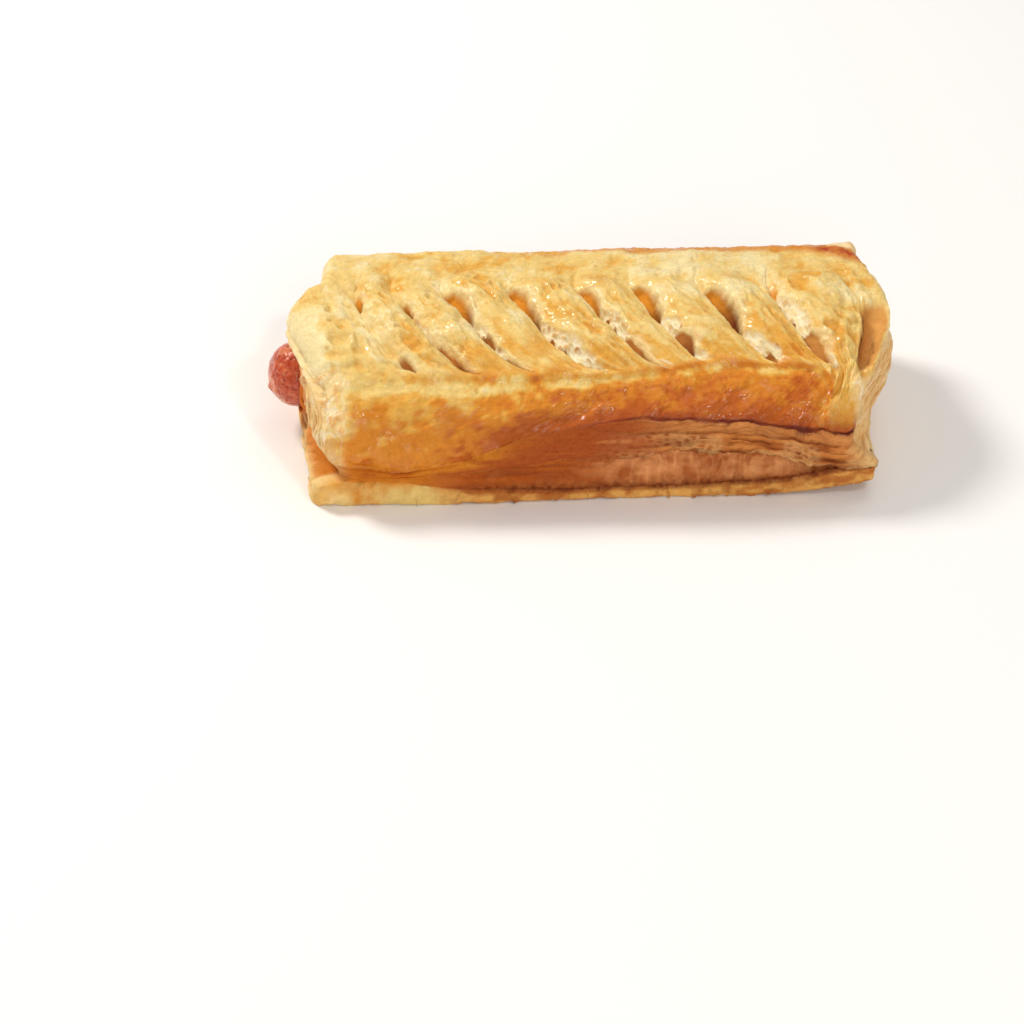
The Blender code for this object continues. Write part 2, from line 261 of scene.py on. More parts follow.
def controls(x):
    """The outline across the roll at each x, as control points (y, z), from the front of the base over the top to the back."""
    low_left = 1 - smooth(-52, -16, x)
    ef, rt, bt = edge_front(x), recess_top(x), base_top(x)
    eb = 25.0 + 1.4 * np.sin(x / 21.0 + 1.0)
    rb = 12.5 + 1.0 * np.sin(x / 15.0)
    wf = -40.3 + 0.5 * np.sin(x / 19.0 + 0.7)
    wb = 42.2 + 0.7 * np.sin(x / 24.0)
    crown = 43.0 + 0.5 * np.sin(x / 17.0) + 0.4 * value_noise(x / 14.0, 0.3, 0, 15)
    one = np.ones_like(x)
    deep = 3.6 * smooth(-64, -24, x) * (1 - 0.6 * smooth(66, 84, x)) + 0.5 + 0.5 * smooth(-50, -68, x)
    overhang = smooth(-2, 26, x)
    span = ef - rt
    sy = SHOULDER_Y(x)
    rows = [
        (wf + 2.6, 0 * one),
        (wf + 0.2, 0.45 * one),
        (wf - 0.3, 0.5 * bt),
        (wf + 0.3, bt),
        (wf + 0.2 + 0.35 * deep, bt + 0.45),
        (wf + deep + 0.2, bt + 1.0 + 0.3 * (rt - bt - 1)),
        (wf + deep + 0.6, bt + 1.0 + 0.75 * (rt - bt - 1)),
        (wf + deep * 0.75, rt),
        (wf + 0.9, rt + 0.18 * span),
        (wf + 0.3, rt + 0.48 * span),
        (wf + mix(1.0, 1.1, overhang), rt + 0.82 * span),
        (wf + mix(1.6, 1.9, overhang), ef - 0.35),
        (wf + mix(2.0, 1.5, overhang), ef + 0.6),
        (mix(wf + 5.0, wf + 1.2, low_left), mix(mix(ef, 36.4, 0.30), ef + 6.0, low_left)),
        (mix(mix(wf, sy, 0.58), wf + 3.6, low_left), mix(mix(ef, 36.4, 0.62), ef + 14.0, low_left)),
        (mix(mix(wf, sy, 0.82), sy - 5.6, low_left), mix(mix(ef, 36.4, 0.86), 33.4, low_left)),
        (sy, 36.4 * one),
        (-12.0 * one, crown - 2.2),
        (0 * one, crown - 0.5),
        (14.0 * one, crown),
        (28.0 * one, crown - 1.0),
        (38.0 * one, 39.4 + 0.3 * np.sin(x / 9.0)),
        (wb - 1.3, 36.6 * one),
        (wb - 0.1, 32.0 * one),
        (wb - 0.4, eb + 0.5),
        (wb - 1.4, eb - 0.4),
        (wb - 0.4, mix(rb, eb, 0.65)),
        (wb - 0.5, mix(rb, eb, 0.3)),
        (wb - 2.2, rb),
        (wb - 3.2, rb - 2.6),
        (wb - 2.8, bt + 2.0),
        (wb - 1.9, bt + 0.8),
        (wb - 0.6, bt),
        (wb, 2.3 * one),
        (wb - 0.6, 0.5 * one),
        (wb - 3.4, 0 * one),
        (14.0 * one, 0 * one),
        (-12.0 * one, 0 * one),
    ]
    return np.array([np.stack(r) for r in rows])          # (control, 2, column)


# Rows between each control point and the next.
ROWS_PER_SPAN = [
    8, 6, 7, 5, 8, 11, 10, 11, 17, 19, 14, 5, 12, 15, 15, 12,
    30, 30, 34, 34, 24, 10, 12, 16, 4, 9, 9, 9, 6, 8, 6, 4, 6, 6, 8, 10, 12, 12,
]


def build_rows():
    t = []
    for i, n in enumerate(ROWS_PER_SPAN):
        t += [i + k / n for k in range(n)]
    return np.array(t)


def build_columns():
    """Stations along the roll, crowded at the ends' rims and at the slashes."""
    edges = np.linspace(-HALF, HALF, 8001)
    step = np.full(edges.shape, 0.46)
    for s in SLASH_X[:-1]:
        step = np.minimum(step, 0.21 + 0.25 * smooth(2.6, 5.0, np.abs(edges - s - 0.6)))
    step = np.minimum(step, 0.24 + 0.22 * smooth(6.0, 9.0, np.abs(edges - SLASH_X[-1] - 1.0)))
    step = np.minimum(step, 0.16 + 0.30 * smooth(2.0, 8.0, HALF - np.abs(edges)))
    count = np.concatenate([[0], np.cumsum((edges[1] - edges[0]) / step[:-1])])
    n = int(round(count[-1]))
    return np.interp(np.linspace(0, count[-1], n + 1), count, edges)


def resample(control, t):
    """Rounded curve through the control points, with the underside's corner kept."""
    k = control.shape[0]
    i = np.floor(t).astype(int) % k
    f = (t - np.floor(t))[:, None, None]
    p0, p1, p2, p3 = (control[(i + d) % k] for d in (-1, 0, 1, 2))
    # Tangents are scaled to the shorter neighbour, so an uneven pair of spans makes no loop.
    d1 = np.linalg.norm(p1 - p0, axis=1, keepdims=True)
    d2 = np.linalg.norm(p2 - p1, axis=1, keepdims=True)
    d3 = np.linalg.norm(p3 - p2, axis=1, keepdims=True)
    m1 = ((p1 - p0) / d1 * d2 + (p2 - p1)) * 0.5
    m2 = ((p3 - p2) / d3 * d2 + (p2 - p1)) * 0.5
    m1 *= np.minimum(1, 2.0 * d1 / d2)
    m2 *= np.minimum(1, 2.0 * d3 / d2)
    f2, f3 = f * f, f * f * f
    return (2 * f3 - 3 * f2 + 1) * p1 + (f3 - 2 * f2 + f) * m1 + (-2 * f3 + 3 * f2) * p2 + (f3 - f2) * m2


def grid_normals(p):
    """Outward normals of a grid of points (row, column), rows closed round."""
    du = np.roll(p, -1, 0) - np.roll(p, 1, 0)
    dv = np.empty_like(p)
    dv[:, 1:-1] = p[:, 2:] - p[:, :-2]
    dv[:, 0] = p[:, 1] - p[:, 0]
    dv[:, -1] = p[:, -1] - p[:, -2]
    n = np.cross(dv, du)
    n /= np.linalg.norm(n, axis=-1, keepdims=True) + 1e-9
    return -n


# Each slash's openings: (place along it, half length, width in mm, depth in mm).
OPENINGS = (
    ((0.18, 0.11, 1.3, 2.6), (0.90, 0.085, 1.15, 2.6)),
    ((0.285, 0.085, 1.5, 2.8), (0.50, 0.07, 0.6, 1.6), (0.845, 0.165, 1.35, 3.6)),
    ((0.27, 0.21, 3.7, 6.4), (0.655, 0.07, 2.6, 3.6), (0.865, 0.135, 1.1, 2.6)),
    ((0.255, 0.25, 2.9, 6.4), (0.62, 0.035, 1.3, 2.6), (0.74, 0.03, 1.4, 2.4)),
    ((0.21, 0.16, 2.3, 5.2), (0.44, 0.035, 1.3, 2.6), (0.55, 0.03, 1.2, 2.4), (0.79, 0.16, 2.4, 3.2)),
    ((0.245, 0.21, 3.5, 6.8), (0.70, 0.105, 3.6, 3.8)),
    ((0.37, 0.265, 3.9, 7.2), (0.865, 0.05, 2.0, 3.4), (0.955, 0.03, 1.3, 2.6)),
    ((0.10, 0.12, 1.7, 1.8), (0.50, 0.05, 1.4, 2.4), (0.815, 0.185, 4.4, 3.8)),
)
# Where a slash has stretched apart but pale webs of dough still bridge it: (place, half length, width).
WEBS = (
    (),
    ((0.52, 0.15, 1.4),),
    ((0.53, 0.07, 3.2), (0.76, 0.07, 2.4)),
    ((0.52, 0.10, 3.4), (0.77, 0.25, 5.2)),
    ((0.49, 0.18, 4.6), (0.96, 0.06, 2.6)),
    ((0.52, 0.10, 4.0), (0.88, 0.12, 4.6)),
    ((0.76, 0.15, 5.0), (0.95, 0.08, 3.4)),
    ((0.46, 0.28, 4.4),),
)
HOLLOW_X = 82.4                   # the wide hollow inside the right end's last band


def relief(columns, along, y, px, py, pz):
    """The top sheet's strands and slashes.

    Returns the height, how deep in an opening each point is, the webs, the hollow at the right
    end, the pale faces beside the openings (with a painted highlight on the strand's slope just
    beside each slash) and the pale lips at the slashes' front ends.
    """
    x = columns[None, :]
    shape = y.shape
    height, cavity, torn, pale, lips = (np.zeros(shape) for _ in range(5))
    lines = [2 * SLASH_X[0] - SLASH_X[1] - 8] + list(SLASH_X[:8]) + [79.6, 96.0]
    inside = smooth(24, 11, y) * smooth(-26.0, -17.5, y)
    for k, (a, b) in enumerate(zip(lines, lines[1:])):
        here = (x >= a) & (x <= b)
        share = np.clip((x - a) / (b - a), 0, 1)
        hump = np.sin(math.pi * share**0.88) ** 0.8
        swell = 3.8 * (hump - 0.66) + 1.2 * value_noise(k * 3.3, along * 2.6, 0, 21) * hump
        if k == len(lines) - 2:
            swell = np.zeros_like(swell)
        height = np.where(here, swell * inside, height)
    keep = smooth(26, 16, y) * smooth(-27.5, -23.0, y)
    for k, s in enumerate(SLASH_X[:8]):
        wander = 0.45 * value_noise(along * 5.0, k * 7.7, 0, 22) + 0.20 * value_noise(along * 21.0, k * 7.7, 0, 23)
        d = (x - s) * 0.84 + wander
        near = np.abs(d) < 10
        width = np.zeros(shape)
        depth = np.zeros(shape)
        for c, half, w, deep in OPENINGS[k]:
            q = np.clip((along - c + half) / (2 * half), 0, 1)
            ragged = 1 + 0.16 * value_noise(along * 27.0, k, 4.4, 24)
            width = np.maximum(width, w * 2.5 * q**0.3 * (1 - q) ** 0.75 * ragged * (q > 0))
            depth = np.maximum(depth, deep * (0.34 + 0.66 * q) * smooth(0, 0.10, q) * smooth(1.0, 0.90, q))
        seam = smooth(0.02, 0.10, along) * (1 - smooth(0.95, 1.0, along))
        wide = np.maximum(width, 0.02)
        e = (d + 0.14 * wide) / wide
        wall = smooth(-0.02, 0.08, e) * (1 - smooth(0.60, 1.02, e))
        opened = smooth(0.05, 0.5, width)
        cut = depth * wall * opened
        web = np.zeros(shape)
        for c, half, w in WEBS[k]:
            lengthwise = np.clip(1 - ((along - c) / half) ** 2, 0, 1) ** 0.5
            reach = w * lengthwise * (1 + 0.18 * value_noise(along * 30.0, k, 2.2, 25))
            f = np.clip((d + 0.3) / np.maximum(reach, 0.05), 0, 1)
            web = np.maximum(web, (f > 0) * (f < 1) * smooth(0.0, 0.10, f) * (1 - smooth(0.66, 1.0, f)) * smooth(0.0, 0.35, lengthwise))
        crease = 0.75 * np.exp(-((d / 0.5) ** 2)) * seam
        drop = np.maximum(np.maximum(cut, crease), 1.3 * web)
        height = height - np.where(near, drop, 0) * keep
        in_hole = smooth(0.5, 1.4, cut) * (1 - smooth(0.68, 0.92, e))
        cavity = np.maximum(cavity, np.where(near, in_hole, 0))
        torn = np.maximum(torn, np.where(near, web * (1 - smooth(0.6, 1.6, cut)), 0))
        slope = smooth(0.60, 0.90, e) * (1 - smooth(1.1, 1.7, e)) * opened
        cut_edge = np.exp(-(((d + 0.14 * wide + 0.35) / 0.35) ** 2)) * opened
        # The strand's slope just beside the slash is painted pale as a highlight.
        beside = np.exp(-(((d - 0.9) / 1.1) ** 2)) * seam * 0.6
        pale = np.maximum(pale, np.where(near, np.maximum(np.maximum(slope, 0.8 * cut_edge), beside), 0))
        # The slash's front end closes in a raised, rounded lip.
        r = np.hypot((along - 0.925) * 38.5, d - 1.2)
        ring = np.exp(-(((r - 2.1) / 0.55) ** 2)) * smooth(0.91, 0.96, along + 0.02 * d)
        lips = np.maximum(lips, np.where(near, ring, 0) * (k >= 4))
    height = height + 0.7 * lips * keep
    # A soft fold runs back from the last slash.
    fx, fy = 57.0 - 47.5, 6.0 - 20.5
    along_fold = ((px - 47.5) * fx + (py - 20.5) * fy) / (fx * fx + fy * fy)
    off_fold = ((px - 47.5) * fy - (py - 20.5) * fx) / math.hypot(fx, fy)
    fold = np.exp(-((off_fold / np.where(off_fold > 0, 1.0, 2.6)) ** 2)) * smooth(-0.1, 0.3, along_fold) * smooth(1.15, 0.8, along_fold) * (pz > 30)
    height = height - 1.6 * fold
    # The hollow at the right end.
    e = (x - HOLLOW_X + 3.4 + 0.25 * value_noise(y / 2.0, 3.3, 0, 27)) / 7.6
    lengthwise = smooth(6.0, -3.0, y) * smooth(-29.0, -15.0, y)
    bowl = np.clip(1 - np.abs(2 * e - 1) ** 2.2, 0, 1) ** 0.62 * lengthwise
    height = height - 5.6 * bowl
    hollow = smooth(0.12, 0.5, bowl)
    rim_line = np.exp(-(((e + 0.05) / 0.08) ** 2)) * lengthwise
    height = height + 0.6 * rim_line
    pale = np.maximum(pale, 0.35 * rim_line)
    return height, cavity * keep, torn * keep, hollow, pale * keep, lips * keep, fold, e


# ---- colours -------------------------------------------------------------------------
def srgb(r, g, b):
    c = np.array([r, g, b], float) / 255.0
    return np.where(c <= 0.04045, c / 12.92, ((c + 0.055) / 1.055) ** 2.4)


def blend(colour, other, amount):
    return colour + (other - colour) * np.clip(amount, 0, 1)[..., None]


CREAM = srgb(243, 224, 170)
PALE = srgb(237, 205, 128)
GOLD = srgb(229, 173, 76)
ORANGE = srgb(217, 136, 40)
RUST = srgb(190, 96, 28)
CARAMEL = srgb(120, 36, 14)
DARK = srgb(78, 24, 14)
TAN = srgb(212, 136, 70)
WHITE = srgb(251, 242, 214)
INNER = srgb(224, 150, 48)
UMBER = srgb(140, 70, 28)
BROWN = srgb(168, 82, 38)
CREVICE_SHADE = srgb(96, 42, 20)
DOUGH = srgb(242, 206, 142)
LIGHT_DOUGH = srgb(250, 236, 202)


def make_mesh(name, points, faces, tint, extra, uv=None):
    mesh = bpy.data.meshes.new(name)
    mesh.vertices.add(len(points))
    mesh.vertices.foreach_set("co", ((points + SHIFT) * MM).astype(np.float32).ravel())
    mesh.loops.add(faces.size)
    mesh.loops.foreach_set("vertex_index", faces.astype(np.int32).ravel())
    mesh.polygons.add(len(faces))
    k = faces.shape[1]
    mesh.polygons.foreach_set("loop_start", (np.arange(len(faces)) * k).astype(np.int32))
    mesh.polygons.foreach_set("loop_total", np.full(len(faces), k, np.int32))
    mesh.update(calc_edges=True)
    mesh.validate()
    mesh.polygons.foreach_set("use_smooth", np.ones(len(mesh.polygons), bool))
    colour = mesh.attributes.new("tint", "FLOAT_COLOR", "POINT")
    rgba = np.concatenate([tint, np.ones((len(tint), 1))], 1).astype(np.float32)
    colour.data.foreach_set("color", rgba.ravel())
    for key, values in extra.items():
        layer = mesh.attributes.new(key, "FLOAT", "POINT")
        layer.data.foreach_set("value", values.astype(np.float32).ravel())
    if uv is not None and len(mesh.loops) == faces.size:
        layer = mesh.uv_layers.new(name="OFBake")
        layer.data.foreach_set("uv", uv[faces.ravel()].astype(np.float32).ravel())
    piece = bpy.data.objects.new(name, mesh)
    bpy.context.scene.collection.objects.link(piece)
    return piece


def grid_faces(rows, cols, start=0, close=True, flip=False):
    """Quads of a grid numbered row by row."""
    r = np.arange(rows if close else rows - 1)
    c = np.arange(cols - 1)
    rr, cc = np.meshgrid(r, c, indexing="ij")
    nxt = (rr + 1) % rows
    q = np.stack([rr * cols + cc, rr * cols + cc + 1, nxt * cols + cc + 1, nxt * cols + cc], -1)
    q = q.reshape(-1, 4) + start
    return q[:, ::-1] if flip else q


def build_case():
    t = build_rows()
    x = build_columns()
    nr, nc = len(t), len(x)
    outline = resample(controls(x), t)                    # (row, 2, column)
    y, z = outline[:, 0], outline[:, 1]
    X = np.broadcast_to(x, y.shape)
    T = np.broadcast_to(t[:, None], y.shape)

    # Rounded rims: tight on the bottom sheet, generous on the puffed top sheet.
    radius = mix(np.where(X < 0, 3.0, 1.6), np.where(X < 0, 5.0, 2.6), smooth(8.0, 20.0, z))
    d = np.minimum(HALF - np.abs(X), radius)
    inset = radius - np.sqrt(np.maximum(0, radius**2 - (radius - d) ** 2))
    inset = np.minimum(inset, 6.5)
    y = 1.0 + (y - 1.0) * (1 - inset / 41.4)
    z = np.where(z > 20, 20 + (z - 20) * (1 - inset / 23.2), z)

    # Masks of the zones round the outline.
    along = slash_along(y)
    crease_t = 16.05 - 3.6 * smooth(42, 78, X) + 0.14 * value_noise(X / 6.0, 0, 0, 88)
    past = T - crease_t                                    # over the shoulder's crease, onto the strands
    top = smooth(-0.1, 0.25, past) * (1 - smooth(20.6, 21.6, T))
    band = smooth(11.15, 11.40, T) * (1 - smooth(-0.1, 0.25, past)) * (T < 17)
    flaky_f = smooth(6.75, 7.0, T) * (1 - smooth(11.4, 11.65, T))
    flaky_b = smooth(24.0, 24.4, T) * (1 - smooth(28.3, 28.7, T))
    recess = smooth(3.2, 3.7, T) * (1 - smooth(7.0, 7.25, T)) + smooth(27.8, 28.3, T) * (1 - smooth(31.3, 31.7, T))
    crack = np.exp(-(((T - 4.0) / 0.30) ** 2)) + np.exp(-(((T - 31.2) / 0.30) ** 2))
    base = (1 - smooth(3.7, 4.3, T)) + smooth(30.7, 31.3, T)
    under = smooth(35.0, 35.3, T) + (1 - smooth(0.0, 0.3, T))
    back_band = smooth(20.9, 21.6, T) * (1 - smooth(24.4, 24.7, T))

    p = place(X, y, z)
    n = grid_normals(p)
    px, py, pz = p[..., 0], p[..., 1], p[..., 2]

    # ---- layers on the two long sides: plates of uneven thickness with dark gaps between some ----
    ef, rt = edge_front(x)[None, :], recess_top(x)[None, :]
    tall = np.where(T < 16, np.maximum(ef - rt, 1.0), 11.0)
    share = np.where(T < 16, (z - rt) / tall, (28.0 - T) / 3.0)
    facing = np.where(T < 16, 0.0, 9.0)
    share = share + (0.75 * fbm(px / 15.0, pz / 9.0, py / 60.0, 3, 31) + 0.22 * fbm(px / 3.2, pz / 2.2, 0, 2, 35)) / tall
    marks = np.array([-0.3, 0.0, 0.12, 0.25, 0.40, 0.56, 0.73, 1.0, 1.4])
    plates = np.interp(share, marks, np.arange(len(marks)))
    index = np.floor(plates)
    f = plates - index
    thick = (marks[1:] - marks[:-1])[np.clip(index, 0, 7).astype(int)] * tall
    seam_id = np.round(plates)
    to_seam = np.minimum(f, 1 - f) * thick
    shown = smooth(-0.35, 0.25, value_noise(px / 11.0, seam_id * 3.7, facing, 39))
    gap = np.exp(-((to_seam / 0.30) ** 2)) * shown * np.where(seam_id >= 7, 0.25 * smooth(6, 24, px), 1.0)
    stick = 0.75 * value_noise(px / 16.0, index * 5.3, facing, 37) + 0.28 * value_noise(px / 4.2, index * 5.3, facing, 38)
    sheet = share * tall / 0.85
    sheet_f = sheet - np.floor(sheet)
    thin_gap = np.exp(-((np.minimum(sheet_f, 1 - sheet_f) * 0.85 / 0.2) ** 2)) * smooth(-0.3, 0.4, value_noise(px / 6.0, np.round(sheet) * 2.3, facing, 40))
    finer = smooth(26, -4, px)
    b1, b2, b_own = cells(px / 2.9, pz / 1.7 + 0.3 * facing, py / 40.0, 41)
    bubble = smooth(0.05, 0.55, b2 - b1)
    cell_zone = smooth(-0.20, 0.30, value_noise(px / 10.0, share * 2.2, 2.0 + facing, 43)) * (1 - smooth(0.66, 0.8, share)) * smooth(-6, 12, px)
    pits = bubble * (b_own > 0.42) * cell_zone
    rough_side = fbm(px / 1.6, pz / 0.9, py / 3.0, 3, 44)
    layered = smooth(-12, 20, px) * (T < 16) + (T >= 16)
    gap, thin_gap = gap * layered, thin_gap * layered
    level = fbm(px / 15.0, pz / 1.3, 0, 3, 45)
    layer_disp = stick * (1 - 0.7 * finer) - 0.95 * gap - 0.4 * thin_gap + 0.30 * level * (1 - layered)
    layer_disp = layer_disp + 0.30 * (bubble - 0.5) - 0.90 * pits + 0.20 * rough_side
    top_plate = smooth(0.72, 0.80, share) * (share < 1.2)
    layer_disp = layer_disp + 0.55 * top_plate * np.sin(np.clip((share - 0.73) / 0.27, 0, 1) * math.pi) * (1 - finer)
    layer_disp = layer_disp * np.where(T < 16, mix(0.55, 1.0, smooth(-60, -30, px)), 1.0)

    # ---- recess, crack and base ----
    pleat = mix(0.45, 1.0, smooth(-14, 14, px)) * ridged(px / 2.7 + 0.6 * fbm(px / 9.0, pz / 5.0, 0, 2, 50), pz / 16.0, 0, 2, 51)
    folds = fbm(px / 8.0, (pz + px * 0.05) / 2.4, 0, 3, 53)
    recess_disp = 0.70 * (pleat - 0.35) + 0.70 * folds + 0.16 * fbm(px / 1.2, pz / 1.2, 0, 2, 54)
    crumb = fbm(px / 1.15, pz / 0.9, py / 1.6, 3, 60)
    lumps = 0.40 * fbm(px / 4.6, pz / 2.6, py / 3.0, 3, 61)
    notch = np.clip(ridged(px / 6.0 + 0.3 * folds, pz / 9.0, py / 25.0, 2, 62) - 0.70, 0, 1) * 3.2 * smooth(0.5, 1.5, T)
    near_crack = np.exp(-(((T - 3.9) / 0.52) ** 2)) * smooth(-50, -20, px)

    # ---- skin: pillows, blisters, scales and fine wrinkles ----
    slantx = px - slant(X, y, z)                             # follows the strands
    lump = fbm(slantx / 6.8, py / 8.6, pz / 20.0, 2, 71)
    small = fbm(slantx / 2.4, py / 3.1, pz / 6.0, 3, 75)
    fine = fbm(px / 1.1, py / 1.1, pz / 1.1, 2, 79)
    broad = fbm(px / 21.0, py / 16.0, pz / 16.0, 3, 80)
    c1, c2, c_own = cells(slantx / 6.6 + 0.45 * small, py / 8.2 + 0.3 * lump, pz / 26.0, 72)
    pillow = smooth(0.0, 0.62, c2 - c1)
    c3, c4, s_own = cells(slantx / 2.3 + 0.4 * fine, py / 2.8, pz / 3.2, 76)
    blister = smooth(0.0, 0.6, c4 - c3) * (s_own > 0.55)
    scale = fbm(slantx / 7.5 + 0.4 * small, py / 6.0, pz / 12.0, 3, 84) * 3.6
    step = np.floor(scale) + smooth(0.80, 1.0, scale - np.floor(scale))
    crinkle = ridged(slantx / 1.9 + 0.8 * small, py / 4.2, pz / 5.0, 2, 85)
    long_crease = smooth(0.55, 0.95, ridged(px / 24.0 + 0.4 * broad, py / 3.2, 3.0, 2, 83))
    back_margin = smooth(15.0, 22.0, y) * (T > 15)
    pillows = smooth(-0.5, 0.3, value_noise(px / 24.0, py / 15.0, 0, 87))
    skin = 1.05 * lump + 1.45 * (pillow - 0.62) * pillows + 0.38 * small + 0.09 * fine + 0.8 * broad
    skin = skin + 0.16 * blister + 0.18 * (step - scale) - 0.20 * (crinkle - 0.3)
    skin_top = mix(skin, 0.6 * lump + 0.4 * small + 0.6 * broad + 0.1 * fine - 0.6 * long_crease, 0.8 * back_margin)
    dimple = fbm(px / 5.2, pz / 4.0 + 0.2 * py, 0, 3, 86)
    streaks = ridged(px / 2.4 + 0.5 * dimple, pz / 10.0, py / 10.0, 2, 90)
    band_skin = 0.45 * broad + 0.75 * dimple + 0.35 * small + 0.13 * fine + 0.12 * (step - scale) - 0.22 * (streaks - 0.3)
    flank = 1 - smooth(-70, -36, px)
    band_skin = band_skin + flank * (0.5 * lump + 0.5 * fbm(px / 3.6, pz / 8.0, 0, 3, 92))
    left_cut = smooth(-75.0, -85.0, px + 2.4 * value_noise(pz / 7.0, py / 8.0, 2, 108) + 1.6 * fbm(px / 2.4, py / 2.4, pz / 2.4, 2, 109))
    wrinkle = ridged(px / 2.8 + 0.8 * fbm(px / 5.0, pz / 6.0, py / 5.0, 2, 98), pz / 9.0, py / 3.4, 2, 99)
    ruck = left_cut * smooth(-4, -14, py)
    band_skin = band_skin + ruck * (1.1 * (wrinkle - 0.35) + 0.5 * fbm(px / 1.3, pz / 3.0, py / 1.3, 3, 96))
    front_edge = smooth(30, 50, px) * (1 - smooth(0.0, 2.2, -past - 0.2) ) * (1 - back_margin)
    band_skin = band_skin + 0.35 * (crinkle - 0.3) * front_edge

    # The shoulder: a crease where the strands run out, and a soft roll of skin below it.
    crease_d = past / 0.20
    shoulder = np.exp(-(crease_d**2)) * smooth(-84, -64, px)
    roll = np.exp(-(((past + 0.62) / 0.42) ** 2)) * smooth(-84, -64, px)
    second = np.exp(-(((past + 1.20) / 0.16) ** 2)) * smooth(0.0, 0.6, value_noise(px / 13.0, 4.0, 0, 93))

    height, cavity, torn, hollow, pale, lips, fold, hollow_e = relief(x, along, y, px, py, pz)
    above = smooth(0.0, 0.35, past)
    cavity, torn, pale = cavity * above, torn * above, pale * above
    up = smooth(-0.3, 0.5, past) * (1 - smooth(20.8, 21.8, T))
    height = height * up
    overhang = smooth(-2, 26, px)
    lip = np.exp(-(((T - 12.05) / 0.25) ** 2)) * (0.5 + 0.5 * value_noise(px / 5.0, 0, 0, 91)) * overhang

    disp = (
        layer_disp * np.maximum(flaky_f, flaky_b) * (1 - smooth(28.0, 28.3, T))
        + recess_disp * np.where(T < 16, smooth(3.7, 4.3, T), 1 - smooth(30.7, 31.3, T)) * recess * mix(0.4, 1.0, smooth(-60, -30, px))
        + (1.3 * lumps + 0.24 * crumb - notch) * base * (1 - under) * (1 - 0.6 * smooth(34.0, 35.0, T)) * (1 - 0.6 * smooth(1.0, 0.3, T))
        + (0.8 * crumb - 0.55 * crack) * near_crack
        - 0.3 * crack * smooth(-60, -30, px)
        + skin_top * top * (1 - 0.85 * cavity) * (1 - 0.4 * torn) * (1 - 0.7 * hollow)
        + band_skin * (band + back_band)
        - 0.75 * shoulder
        + 0.45 * roll * band
        - 0.4 * second * band
        + 0.5 * lip
    )
    disp = disp * (1 - under)
    rim = smooth(0.0, 3.0, HALF - np.abs(X))
    disp = disp * mix(0.6, 1.0, rim)
    w1, w2, w_own = cells(slantx / 1.55 + 0.2 * small, py / 2.5, pz / 3.0, 95)
    strand_rim = 1 - smooth(0.03, 0.26, w2 - w1)
    web_pit = smooth(0.12, 0.5, w2 - w1) * (w_own > 0.40)
    fibre = fbm(slantx / 0.6, py / 2.6, pz / 2.4, 3, 97)
    torn_disp = (0.55 * strand_rim - 1.0 * web_pit + 0.40 * fibre) * torn * (1 - cavity)
    ruffle = 0.35 * fibre * pale * (1 - cavity)
    p = p + n * (disp + torn_disp + ruffle)[..., None]
    p[..., 2] += height
    # The upturned back corner at the right end.
    corner = smooth(76, 90, px) * smooth(30, 41, py) * smooth(33, 37, pz)
    p[..., 2] += 1.6 * corner
    p[..., 0] += 0.8 * corner
    p[..., 2] = np.maximum(p[..., 2], 0.0)

    # ---- colour ----
    sun = value_noise(px / 26.0, py / 22.0, 0, 101)
    rightward = smooth(-60, 40, px)
    patch = fbm(px / 9.0, py / 7.0, pz / 9.0, 3, 104)
    blotch = fbm(slantx / 4.2, py / 4.6, pz / 4.6, 3, 105)
    freckle = fbm(px / 1.7, py / 1.7, pz / 1.7, 2, 106)
    domes = 0.55 * lump + 0.42 * (pillow - 0.6) * pillows + 0.12 * small
    stretch = fbm(slantx / 0.9, py / 7.5, pz / 7.5, 3, 128)
    flake_line = smooth(0.70, 0.92, ridged(slantx / 3.4 + 0.7 * small, py / 4.4, pz / 6.0, 2, 129))
    brown = 0.22 + 0.03 * rightward + 0.60 * domes + 0.26 * patch + 0.26 * blotch + 0.18 * freckle + 0.08 * sun
    brown = brown + 0.20 * stretch * (1 - 0.8 * back_margin) - 0.12 * flake_line - 0.14 * smooth(-56, -76, px)
    brown = brown + 0.22 * smooth(0, -18, y) * smooth(-10, 50, px) + 0.16 * smooth(2, -22, y) * (1 - back_margin)
    brown = brown + 0.04 * smooth(56, 78, px) * smooth(-6, -28, y)
    brown = brown - 0.12 * smooth(5, 20, px) * (1 - smooth(50, 64, px)) * smooth(-24, -10, y)
    brown = brown - 0.08 * smooth(36, 50, px) * smooth(-20, -30, y)
    brown = brown + 0.10 * np.clip(height / 1.6, -1, 1) - 0.05 * back_margin
    brown = brown + 0.5 * fold + 0.16 * back_margin * smooth(-20, -50, px) + 0.14 * np.exp(-(((slantx + 1) / 22.0) ** 2)) * (1 - back_margin)
    brown = brown - 0.75 * smooth(-82, -88, px) * smooth(10, -6, py)
    colour = np.broadcast_to(CREAM, y.shape + (3,)).copy()
    colour = blend(colour, PALE, smooth(-0.22, 0.22, brown))
    colour = blend(colour, GOLD, smooth(0.20, 0.62, brown))
    colour = blend(colour, ORANGE, smooth(0.62, 1.10, brown) * 0.85)
    # Pale cut faces beside the openings, with a painted highlight on the strand beside each slash.
    colour = blend(colour, srgb(247, 230, 180), np.clip(pale, 0, 1) * 0.6)
    colour = blend(colour, WHITE, np.clip(lips, 0, 1) * smooth(0.02, 0.28, past) * 0.85)

